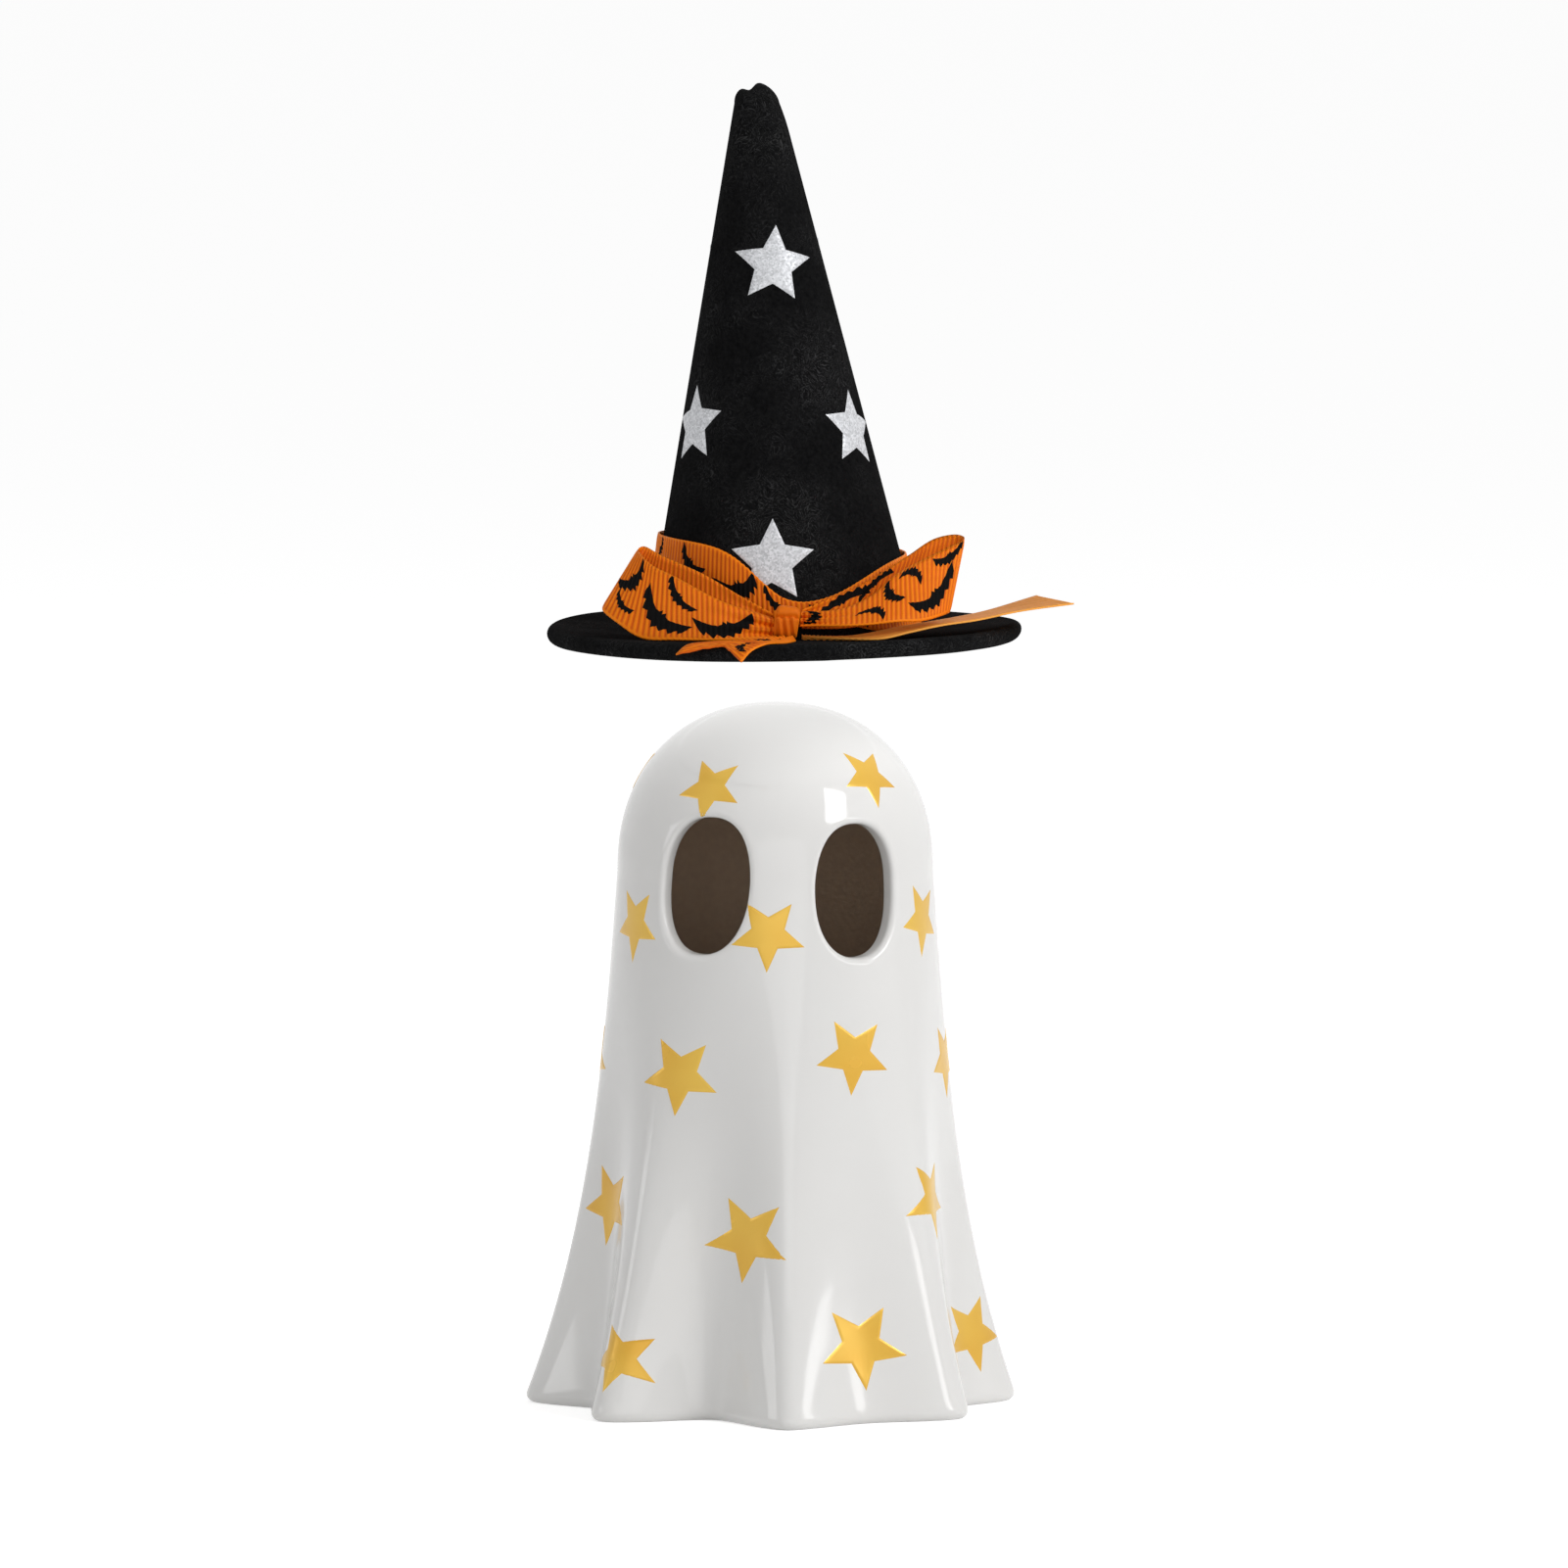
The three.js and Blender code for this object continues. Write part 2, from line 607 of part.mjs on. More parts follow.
// The tip is pinched flat into two lobes, the left one lower
function hatCone() {
  const sides = 40;
  const straightTop = coneHeight - coneRounding;
  const heights = [...levels(0, straightTop, 3),
    ...[0.35, 0.65, 0.88].map((share) => straightTop + coneRounding * share)];
  const rings = heights.map((height) => coneRing(coneRadiusAt(height), height, sides));
  const tip = new THREE.Vector3(coneLean * coneHeight, 0, coneHeight);
  const outside = loft(rings, new THREE.Vector3(0, 0, 0), tip);
  const insideTop = straightTop - feltThickness;
  const insideHeights = [-past, insideTop / 2, insideTop];
  const insideRings = insideHeights.map((height) => (
    coneRing(coneRadiusAt(Math.max(0, height)) - feltThickness, height, sides)));
  const hollow = loft(insideRings, new THREE.Vector3(0, 0, -past),
    new THREE.Vector3(coneLean * insideTop, 0, insideTop + feltThickness));
  const notch = new THREE.CylinderGeometry(tipNotch, tipNotch, 4 * coneRounding, 16);
  notch.translate(coneLean * coneHeight - tipNotchSide, 0, coneHeight - tipNotchDrop);
  return cut(outside, hollow, notch);
}

addPiece('hat_brim', hatBrim(), felt, hat);
addPiece('hat_cone', hatCone(), felt, hat).position.z = brimThickness + feltSeam;

// A strip of ribbon between two edge curves, given a thickness along its own normal
function ribbonStrip(lowerEdge, upperEdge, steps, across = 3, closed = false) {
  const curveOf = (edge) => new THREE.CatmullRomCurve3(
    edge.map(([x, forward, z]) => new THREE.Vector3(x, -forward, z)), closed, 'centripetal');
  const lower = curveOf(lowerEdge);
  const upper = curveOf(upperEdge);
  const rowCount = closed ? steps : steps + 1;
  const middle = Array.from({ length: rowCount }, (_, row) => {
    const low = lower.getPoint(row / steps);
    const high = upper.getPoint(row / steps);
    return Array.from({ length: across + 1 }, (__, column) => low.clone().lerp(high, column / across));
  });
  const rowAt = (row) => middle[closed ? (row + rowCount) % rowCount : THREE.MathUtils.clamp(row, 0, rowCount - 1)];
  const skin = (side) => middle.map((points, row) => points.map((point, column) => {
    const along = rowAt(row + 1)[column].clone().sub(rowAt(row - 1)[column]);
    const over = points[Math.min(across, column + 1)].clone().sub(points[Math.max(0, column - 1)]);
    const normal = along.cross(over).normalize();
    return point.clone().addScaledVector(normal, side * ribbonThickness / 2);
  }));
  const under = skin(-1);
  const over = skin(1);
  const rings = under.map((points, row) => [...points, ...over[row].slice().reverse()]);
  if (!closed) {
    const middleOf = (points) => points[0].clone().lerp(points[points.length - 1], 0.5);
    return loft(rings, middleOf(middle[0]), middleOf(middle[rowCount - 1]));
  }
  return closedLoft(rings);
}

// The same skin as a loft's, but the last ring meets the first
function closedLoft(rings) {
  const sides = rings[0].length;
  const faces = [];
  rings.forEach((_, level) => {
    const low = level * sides;
    const high = ((level + 1) % rings.length) * sides;
    for (let side = 0; side < sides; side += 1) {
      const next = (side + 1) % sides;
      faces.push(low + side, low + next, high + side, low + next, high + next, high + side);
    }
  });
  const geometry = new THREE.BufferGeometry().setFromPoints(rings.flat());
  geometry.setIndex(faces);
  geometry.computeVertexNormals();
  return geometry;
}

// Edge points of the bow: sideways from the hat's axis, forward of it, and above the brim's top
const loopLeft = {
  lower: [[-2.3, 34, 0.8], [-13.4, 37, 0.6], [-22.8, 36, 0.6], [-29.9, 34, 0.8], [-34.9, 31, 3.6],
    [-38.5, 26.5, 6.4], [-37, 23.4, 6.9], [-28, 26.6, 3], [-17, 30.8, 1.6], [-9, 32.4, 1.2], [-2.3, 32.3, 1.2]],
  upper: [[-2.3, 33.4, 5], [-13.4, 34, 8.6], [-22.8, 31, 13.3], [-28, 28, 15.7], [-29.9, 25.5, 17.3],
    [-30.9, 20.8, 18.6], [-29.6, 18.6, 18.9], [-26, 21.4, 17.2], [-17, 27.2, 13.6], [-9, 31, 9.2], [-2.3, 31.7, 5.6]],
};
const loopRight = {
  lower: [[3.7, 33.6, 3.2], [12.1, 38, 3.6], [18.5, 38, 4], [23.6, 37, 4.5], [29, 34, 4.5], [32.6, 30, 5.1],
    [35.1, 25.6, 5.9], [33.4, 22.8, 6.2], [28, 25.4, 4.9], [21, 28.8, 3.9], [13, 31.6, 2.9], [3.7, 32, 2.8]],
  upper: [[3.7, 32.8, 6.4], [12.1, 33.8, 7], [18.5, 33.2, 9.7], [23.6, 31, 13.9], [28.4, 28.5, 16.4],
    [33.6, 25, 18.7], [38.2, 20.8, 20.8], [36.4, 18, 21.4], [31.9, 19, 20.6], [25.8, 22.8, 17], [16, 28.2, 11.4],
    [3.7, 31.4, 6.4]],
};
const tailRight = {
  lower: [[3.7, 34.2, 1.8], [13.4, 40, 1.6], [21.5, 42, 0.7], [31.9, 36, 2.6], [41, 30, 3.7], [50, 25, 5.8],
    [61.4, 20, 7]],
  upper: [[3.7, 31.8, 1.4], [9, 31.9, 1], [14.6, 30, 0.9], [24.2, 22.6, 2.2], [33.3, 16, 3.2], [42.3, 11, 4.6],
    [53.7, 6, 7.6]],
};
const tailLeft = {
  lower: [[-1.9, 36, 0.8], [-9, 40.4, 0.7], [-16.5, 45, 0.7], [-20.5, 47.8, 0.3], [-22.8, 50.4, -1.4]],
  upper: [[2.5, 36, 0.8], [0.5, 43, 0.7], [-4, 49.2, 0.7], [-7, 52.6, -0.5], [-9, 54, -2.7]],
};

const bow = new THREE.Group();
bow.position.z = brimThickness;
hat.add(bow);
addPiece('bow_loop_left', ribbonStrip(loopLeft.lower, loopLeft.upper, 36), ribbon, bow);
addPiece('bow_loop_right', ribbonStrip(loopRight.lower, loopRight.upper, 40), ribbon, bow);
addPiece('bow_tail_right', ribbonStrip(tailRight.lower, tailRight.upper, 18), ribbon, bow);
addPiece('bow_tail_left', ribbonStrip(tailLeft.lower, tailLeft.upper, 12), ribbon, bow);

// Band round the cone, drawn down to the knot
function bandEdge(azimuth, upper) {
  const turn = radians(azimuth);
  const away = THREE.MathUtils.euclideanModulo(azimuth - knotAzimuth + 180, 360) - 180;
  const reach = away < 0 ? bandDipLeft : bandDipRight;
  const top = bandTop - bandTilt * Math.sin(turn) - bandDip * Math.exp(-((away / reach) ** 2));
  const height = upper ? top : Math.max(bandLift, top - ribbonWidth);
  const radius = coneRadiusAt(height) + bandStandOff + (upper ? bandLoose : 0);
  return [coneLean * height + radius * Math.sin(turn), radius * Math.cos(turn), height];
}

function hatBand() {
  const count = 48;
  const stations = Array.from({ length: count }, (_, step) => step * 360 / count);
  return ribbonStrip(stations.map((azimuth) => bandEdge(azimuth, false)),
    stations.map((azimuth) => bandEdge(azimuth, true)), count, 2, true);
}

addPiece('hat_band', hatBand(), ribbon, bow);

// Knot: a short pleated wrap, rounded over its front
function bowKnot() {
  const halfHeight = knotHeight / 2;
  const crown = knotDepth * 0.6;
  const outline = new THREE.Shape();
  outline.moveTo(-knotDepth / 2, -halfHeight);
  outline.lineTo(0, -halfHeight);
  outline.bezierCurveTo(crown, -halfHeight, crown, halfHeight, 0, halfHeight);
  outline.lineTo(-knotDepth / 2, halfHeight);
  outline.closePath();
  const wrap = new THREE.ExtrudeGeometry(outline, {
    depth: knotWidth - 2 * knotEdge, bevelEnabled: true, bevelThickness: knotEdge, bevelSize: knotEdge,
    bevelOffset: -knotEdge, bevelSegments: 2, curveSegments: 8,
  });
  wrap.translate(0, 0, knotEdge - knotWidth / 2);
  return wrap.rotateX(Math.PI / 2).rotateZ(-Math.PI / 2);
}

const knot = addPiece('bow_knot', bowKnot(), ribbon, bow);
knot.position.set(knotSide, -knotForward, knotHeight / 2 + knotLift);

// The origin lies on the table, under the middle of the object's outline
const extent = new THREE.Box3().setFromObject(group);
const centre = extent.getCenter(new THREE.Vector3());
group.position.set(-centre.x, -centre.y, 0);

export default group;
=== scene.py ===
import random
from math import asin, atan2, ceil, copysign, cos, degrees, exp, floor, pi, radians, sin, sqrt

import bmesh
import bpy
from mathutils import Matrix, Vector
from mathutils.bvhtree import BVHTree


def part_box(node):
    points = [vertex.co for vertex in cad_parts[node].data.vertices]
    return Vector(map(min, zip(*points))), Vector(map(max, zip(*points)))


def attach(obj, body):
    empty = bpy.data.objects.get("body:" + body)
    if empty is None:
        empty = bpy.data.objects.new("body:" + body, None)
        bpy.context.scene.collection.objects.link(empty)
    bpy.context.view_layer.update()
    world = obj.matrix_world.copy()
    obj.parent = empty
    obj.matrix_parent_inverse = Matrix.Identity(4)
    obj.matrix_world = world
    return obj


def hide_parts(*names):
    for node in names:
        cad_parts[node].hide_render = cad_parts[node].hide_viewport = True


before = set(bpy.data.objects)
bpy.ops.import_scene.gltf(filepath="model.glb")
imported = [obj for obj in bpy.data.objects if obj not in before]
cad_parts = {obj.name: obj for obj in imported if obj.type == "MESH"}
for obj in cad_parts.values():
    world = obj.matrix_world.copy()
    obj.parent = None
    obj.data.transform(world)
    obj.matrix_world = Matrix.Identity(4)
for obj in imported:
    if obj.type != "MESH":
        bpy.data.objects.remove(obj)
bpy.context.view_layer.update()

# Ceramic ghost that lights up, with its felt hat lifted off the head.
# Meshes are shaped in millimetres about their own base point, then scaled to metres and put in place.

mm = 0.001
ringLow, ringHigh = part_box("grip_ring")
# On the table below the middle of the head
ghostBase = Vector(((ringLow.x + ringHigh.x) / 2, (ringLow.y + ringHigh.y) / 2, 0))
brimLow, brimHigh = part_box("hat_brim")
# Middle of the brim's underside
hatBase = Vector(((brimLow.x + brimHigh.x) / 2, (brimLow.y + brimHigh.y) / 2, brimLow.z))
print("frame loaded:", len(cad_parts), "nodes")


# Camera at the photograph's angle: long lens, a little above the head
camera = {
    "distance": 3.5,           # in front of the ghost
    "height": 0.44,            # above the table
    "aim": (0.00185, 0.1325),  # right of the ghost's middle, above the table
    "frameWidth": 0.3346,      # what the picture takes in at the ghost
    "sensor": 36, "clip": (0.1, 60),
}


def addToScene(name, data):
    made = bpy.data.objects.new(name, data)
    bpy.context.scene.collection.objects.link(made)
    return made


def makeCamera():
    data = bpy.data.cameras.new("camera")
    view = addToScene("camera", data)
    aim = ghostBase + Vector((camera["aim"][0], 0, camera["aim"][1]))
    view.location = Vector((aim.x, aim.y - camera["distance"], camera["height"]))
    sight = aim - view.location
    view.rotation_euler = sight.to_track_quat("-Z", "Y").to_euler()
    data.sensor_width = camera["sensor"]
    data.lens = camera["sensor"] * sight.length / camera["frameWidth"]
    data.clip_start, data.clip_end = camera["clip"]
    bpy.context.scene.camera = view


makeCamera()
print("camera placed")


# Node helpers
def addNode(tree, kind, inputs=None, **settings):
    made = tree.nodes.new(kind)
    for name, value in settings.items():
        setattr(made, name, value)
    for name, value in (inputs or {}).items():
        if isinstance(value, bpy.types.NodeSocket):
            tree.links.new(value, made.inputs[name])
        else:
            made.inputs[name].default_value = value
    return made


def maths(tree, operation, *values, kind="ShaderNodeMath"):
    return addNode(tree, kind, dict(enumerate(values)), operation=operation).outputs[0]


def remap(tree, value, start=0, end=1, low=0, high=1):
    return addNode(tree, "ShaderNodeMapRange", {
        "Value": value, "From Min": start, "From Max": end, "To Min": low, "To Max": high}).outputs[0]


def noiseIn(tree, place, scale, detail):
    return addNode(tree, "ShaderNodeTexNoise", {"Vector": place, "Scale": scale, "Detail": detail}).outputs


def newGroup(name, inputs, outputs):
    group = bpy.data.node_groups.new(name, "ShaderNodeTree")
    for label, kind, value in inputs:
        socket = group.interface.new_socket(name=label, in_out="INPUT", socket_type=kind)
        if value is not None:
            socket.default_value = value
    for label, kind in outputs:
        group.interface.new_socket(name=label, in_out="OUTPUT", socket_type=kind)
    return group, group.nodes.new("NodeGroupInput").outputs, group.nodes.new("NodeGroupOutput").inputs


# Cloudy variation over a surface, 0 to 1
def mottleGroup():
    group, given, result = newGroup("mottle", [
        ("Vector", "NodeSocketVector", None), ("Scale", "NodeSocketFloat", 50),
        ("Detail", "NodeSocketFloat", 3), ("Spread", "NodeSocketFloat", 0.2),
    ], [("Value", "NodeSocketFloat")])
    noise = noiseIn(group, given["Vector"], given["Scale"], given["Detail"])
    low = maths(group, "SUBTRACT", 0.5, given["Spread"])
    high = maths(group, "ADD", 0.5, given["Spread"])
    group.links.new(remap(group, noise["Fac"], low, high), result["Value"])
    return group


# Matted fibres: thin curved streaks that cross in all directions, over a soft nap
def fibreGroup():
    group, given, result = newGroup("fibres", [
        ("Vector", "NodeSocketVector", None), ("Length", "NodeSocketFloat", 260),
        ("Thickness", "NodeSocketFloat", 3800),
    ], [("Lines", "NodeSocketFloat"), ("Height", "NodeSocketFloat")])
    onVectors = {"kind": "ShaderNodeVectorMath"}
    bent = noiseIn(group, given["Vector"], 240, 0)["Color"]
    spread = maths(group, "SUBTRACT", bent, (0.5, 0.5, 0.5), **onVectors)
    push = addNode(group, "ShaderNodeVectorMath", {0: spread, "Scale": 0.006}, operation="SCALE").outputs[0]
    warped = maths(group, "ADD", given["Vector"], push, **onVectors)
    stretch = addNode(group, "ShaderNodeCombineXYZ", {
        "X": given["Length"], "Y": given["Thickness"], "Z": given["Thickness"]}).outputs[0]
    lines = None
    for turn in (15, 62, 104, 151):
        rotated = addNode(group, "ShaderNodeVectorRotate", {"Vector": warped, "Angle": radians(turn)},
                          rotation_type="Y_AXIS").outputs[0]
        scaled = maths(group, "MULTIPLY", rotated, stretch, **onVectors)
        streak = remap(group, noiseIn(group, scaled, 1, 1)["Fac"], 0.6, 0.72)
        lines = maths(group, "MAXIMUM", lines, streak) if lines is not None else streak
    nap = noiseIn(group, given["Vector"], 1600, 2)["Fac"]
    group.links.new(lines, result["Lines"])
    group.links.new(maths(group, "ADD", nap, lines), result["Height"])
    return group


groups = {"mottle": mottleGroup(), "fibres": fibreGroup()}


class Finish:
    def __init__(self, name, **sockets):
        self.material = bpy.data.materials.new(name)
        self.material.use_nodes = True
        self.tree = self.material.node_tree
        self.shader = self.tree.nodes["Principled BSDF"]
        self.place = self.tree.nodes.new("ShaderNodeTexCoord").outputs["Object"]
        for socket, value in sockets.items():
            self.shader.inputs[socket.replace("_", " ")].default_value = value

    def group(self, kind, output="Value", **values):
        made = self.tree.nodes.new("ShaderNodeGroup")
        made.node_tree = groups[kind]
        self.tree.links.new(values.pop("Vector", self.place), made.inputs["Vector"])
        for socket, value in values.items():
            made.inputs[socket].default_value = value
        return made.outputs[output]

    def blend(self, factor, low, high):
        mixed = addNode(self.tree, "ShaderNodeMix", {0: factor}, data_type="RGBA")
        for socket, value in ((mixed.inputs[6], low), (mixed.inputs[7], high)):
            if isinstance(value, bpy.types.NodeSocket):
                self.tree.links.new(value, socket)
            else:
                socket.default_value = (*value, 1)
        return mixed.outputs[2]

    def feed(self, socket, value):
        self.tree.links.new(value, self.shader.inputs[socket])

    def colour(self, factor, low, high):
        self.feed("Base Color", self.blend(factor, low, high))

    def roughness(self, value, low, high):
        self.feed("Roughness", remap(self.tree, value, low=low, high=high))

    def bump(self, height, strength, distance):
        made = addNode(self.tree, "ShaderNodeBump", {
            "Height": height, "Strength": strength, "Distance": distance})
        self.feed("Normal", made.outputs["Normal"])


def glazeFinish():
    finish = Finish("white_glaze")
    cloud = finish.group("mottle", Scale=28, Detail=2, Spread=0.3)
    finish.colour(cloud, (0.79, 0.785, 0.77), (0.755, 0.745, 0.73))
    finish.roughness(finish.group("mottle", Scale=160), 0.07, 0.12)
    finish.bump(finish.group("mottle", Scale=60, Detail=0, Spread=0.5), 0.12, 0.0008)
    return finish.material


def bareClayFinish(name, light, dark):
    finish = Finish(name, Roughness=0.9)
    grain = finish.group("mottle", Scale=700, Spread=0.35)
    finish.colour(grain, light, dark)
    finish.bump(grain, 0.3, 0.0002)
    return finish.material


def goldFinish():
    finish = Finish("gold_lustre", Metallic=0.2, Specular_IOR_Level=0.4)
    cloud = finish.group("mottle", Scale=45, Detail=2, Spread=0.25)
    finish.colour(cloud, (0.83, 0.54, 0.085), (0.70, 0.37, 0.03))
    finish.roughness(finish.group("mottle", Scale=120, Detail=1), 0.2, 0.28)
    finish.bump(finish.group("mottle", Scale=700, Detail=0), 0.02, 0.0001)
    return finish.material


def feltFinish():
    finish = Finish("black_felt", Roughness=0.95, Specular_IOR_Level=0, Sheen_Weight=0.015,
                    Sheen_Roughness=0.5)
    tree = finish.tree
    lines = finish.group("fibres", "Lines")
    patches = finish.group("mottle", Scale=55, Detail=4, Spread=0.12)
    faint = maths(tree, "MULTIPLY", lines, patches)
    grain = finish.group("mottle", Scale=1100)
    shade = finish.blend(grain, (0.0045, 0.0045, 0.0048), (0.0095, 0.0095, 0.0098))
    fluff = finish.blend(faint, shade, (0.04, 0.04, 0.041))
    cells = addNode(tree, "ShaderNodeTexVoronoi", {"Vector": finish.place, "Scale": 110}).outputs
    speck = remap(tree, cells["Distance"], 0.035, 0.02)
    chance = addNode(tree, "ShaderNodeSeparateColor", {"Color": cells["Color"]}).outputs[0]
    lint = maths(tree, "MULTIPLY", speck, maths(tree, "GREATER_THAN", chance, 0.7))
    finish.colour(lint, fluff, (0.22, 0.22, 0.23))
    finish.bump(finish.group("fibres", "Height"), 0.5, 0.0003)
    return finish.material


def glitterFinish():
    finish = Finish("silver_glitter", Metallic=0.15)
    flakes = addNode(finish.tree, "ShaderNodeTexVoronoi", {"Vector": finish.place, "Scale": 2600})
    shade = addNode(finish.tree, "ShaderNodeSeparateColor", {"Color": flakes.outputs["Color"]}).outputs[0]
    finish.colour(shade, (0.48, 0.49, 0.51), (0.78, 0.79, 0.82))
    finish.roughness(shade, 0.6, 0.3)
    finish.bump(shade, 0.5, 0.0002)
    return finish.material


# Ribbed ribbon in millimetres
ribbon = {
    "width": 16, "thickness": 0.35, "ribPitch": 1.15, "ribHeight": 0.13, "rowsPerRib": 5, "columns": 14,
    "printLift": 0.05, "pleatFade": 7,
    "notch": 5,             # how deep the short tail's end is cut in
}


# Colours painted lighter on the rib crests and darker in the grooves: a painted highlight on each rib and
# painted shade between the ribs. The edges take the painted crest highlight colour.
def ribbonFinish(name, crestHighlightColour, grooveShadeColour):
    finish = Finish(name, Specular_IOR_Level=0.12, Sheen_Weight=0.08, Sheen_Roughness=0.4,
                    Sheen_Tint=(1, 0.5, 0.15, 1))
    tree = finish.tree
    strip = addNode(tree, "ShaderNodeUVMap", uv_map="ribbonWeave").outputs[0]
    parts = addNode(tree, "ShaderNodeSeparateXYZ", {"Vector": strip}).outputs
    turns = 2 * pi * ribbon["width"] / ribbon["ribPitch"]
    crest = remap(tree, maths(tree, "COSINE", maths(tree, "MULTIPLY", parts["X"], turns)), -0.9, 0.6)
    side = maths(tree, "ABSOLUTE", maths(tree, "SUBTRACT", parts["Y"], 0.5))
    edge = remap(tree, side, 0.465, 0.485)
    cloud = finish.group("mottle", Scale=260, Spread=0.3)
    # Painted rib highlight and painted groove shade, set by where each place lies on its rib
    ribs = finish.blend(crest, grooveShadeColour, crestHighlightColour)
    dull = finish.blend(crest, *([0.88 * channel for channel in colour]
                                 for colour in (grooveShadeColour, crestHighlightColour)))
    finish.colour(edge, finish.blend(cloud, ribs, dull), crestHighlightColour)
    finish.roughness(cloud, 0.42, 0.55)
    threads = addNode(tree, "ShaderNodeMapping", {"Vector": strip, "Scale": (1, 60, 1)}).outputs[0]
    finish.bump(finish.group("mottle", Vector=threads, Scale=1.2), 0.25, 0.00015)
    return finish.material


def plainFinish(name, light, dark, roughness, **sockets):
    finish = Finish(name, **sockets)
    cloud = finish.group("mottle", Scale=140, Detail=4)
    finish.colour(cloud, light, dark)
    fine = finish.group("mottle", Scale=900)
    finish.roughness(fine, roughness - 0.06, roughness + 0.06)
    finish.bump(fine, 0.12, 0.0001)
    return finish.material


materials = {
    "glaze": glazeFinish(),
    "bisque": bareClayFinish("bare_clay", (0.63, 0.49, 0.36), (0.56, 0.42, 0.31)),
    # Bare clay of the foot, lighter than the same clay inside: partly a paler unglazed foot, and partly
    # painted light that lifts the shaded underside
    "foot": bareClayFinish("wiped_foot", (0.80, 0.77, 0.71), (0.74, 0.70, 0.63)),
    "gold": goldFinish(),
    "felt": feltFinish(),
    "glitter": glitterFinish(),
    # The crest and groove colours below are a painted highlight and painted shade on the ribs
    "ribbon": ribbonFinish("orange_ribbon", (0.97, 0.235, 0.004), (0.70, 0.115, 0.003)),
    # A lighter copy of the ribbon: painted sheen for the right tail, which catches the light at a grazing
    # angle
    "ribbonSheenCopy": ribbonFinish("ribbon_back", (0.98, 0.42, 0.07), (0.84, 0.29, 0.035)),
    "print": plainFinish("black_print", (0.006, 0.005, 0.005), (0.003, 0.003, 0.003), 0.7,
                         Specular_IOR_Level=0.05),
    "whitePlastic": plainFinish("white_plastic", (0.74, 0.73, 0.69), (0.70, 0.69, 0.65), 0.38),
    "frosted": plainFinish("frosted_plastic", (0.82, 0.79, 0.69), (0.78, 0.75, 0.65), 0.55,
                           Subsurface_Weight=0.2),
    "rubber": plainFinish("black_rubber", (0.03, 0.03, 0.03), (0.022, 0.022, 0.022), 0.8),
    "steel": plainFinish("contact_steel", (0.56, 0.56, 0.57), (0.48, 0.48, 0.49), 0.3, Metallic=1),
    "cellSteel": plainFinish("cell_steel", (0.66, 0.66, 0.66), (0.6, 0.6, 0.6), 0.2, Metallic=1),
    "board": plainFinish("green_board", (0.02, 0.17, 0.06), (0.015, 0.13, 0.045), 0.4),
    "blackPlastic": plainFinish("black_plastic", (0.022, 0.022, 0.022), (0.016, 0.016, 0.016), 0.4),
    "redPlastic": plainFinish("red_plastic", (0.5, 0.03, 0.02), (0.42, 0.025, 0.018), 0.4),
}
print("finishes made:", len(materials))


# A finished mesh: scaled to metres, put in place and made to ride on its body
def makePiece(bm, name, base, body, finishes, replaced=()):
    bmesh.ops.scale(bm, vec=(mm, mm, mm), verts=bm.verts)
    bmesh.ops.translate(bm, vec=base, verts=bm.verts)
    mesh = bpy.data.meshes.new(name)
    bm.to_mesh(mesh)
    bm.free()
    mesh.shade_smooth()
    for finish in finishes:
        mesh.materials.append(materials[finish])
    piece = addToScene(name, mesh)
    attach(piece, body)
    if replaced:
        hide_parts(*replaced)
    print("made", name, len(mesh.polygons), "faces")
    return piece


def steps(start, end, count, bend=1):
    return [start + (end - start) * (index / (count - 1)) ** bend for index in range(count)]


# Ghost body
ghost = {
    "height": 150, "headRadius": 33.8, "domeDepth": 36, "domePower": 2.2,
    "skirtFlare": 8, "hemBell": 11.2, "bellPower": 3.1, "hemLean": -1, "hemRounding": 2.5,
    "wall": 4, "ridgeFill": 2.5, "footRim": 4.5, "footRecess": 5, "plugHoleRadius": 22,
    "foldPeak": 0.959, "stepsPerFold": 28,
    "folds": [              # azimuth of a ridge, depth of the valley after it, and how round the ridge is
        (-88.5, 12, 0.15), (-44.4, 16, 0.15), (4, 7, 0.08), (51.6, 10, 0.15), (92, 11, 0.15),
        (137, 11, 0.15), (182, 11, 0.15), (226.5, 11, 0.15),
    ],
    "eyes": [               # azimuth, height, half width, half height and how far the top leans over
        (-27.3, 113.3, 10, 14.5, 0.055), (31.5, 112.2, 9.4, 14.1, 0.02),
    ],
    "eyeLip": 1.5, "eyeInnerLip": 0.5, "eyeMargin": 3.2,
    "eyePower": 2.3,        # over 2 it fills an oval's corners
}
skirtTop = ghost["height"] - ghost["domeDepth"]
floorTop = ghost["footRecess"] + ghost["wall"]


def headRadiusAt(depth, radius, height):
    rise = max(0, 1 - depth / height)
    return radius * max(0, 1 - rise ** ghost["domePower"]) ** (1 / ghost["domePower"])


# The depth of the valley at an azimuth, and how far into it the azimuth lies
def foldAt(azimuth):
    folds = ghost["folds"]
    for (start, valley, roundness), (end, _, roundnessAfter) in zip(folds, folds[1:] + folds[:1]):
        span = (end - start) % 360
        turn = (azimuth - start) % 360
        if turn < span:
            soft = roundness if turn < span / 2 else roundnessAfter
            power = 1 + soft / 0.3
            wave = sin(pi * turn / span)
            reach = (wave ** 2 + soft ** 2) ** (power / 2) - soft ** power
            full = (1 + soft ** 2) ** (power / 2) - soft ** power
            return valley, ghost["foldPeak"] * reach / full
    return folds[0][1], 0


def skirtShare(z):
    return max(0, (skirtTop - z) / skirtTop)


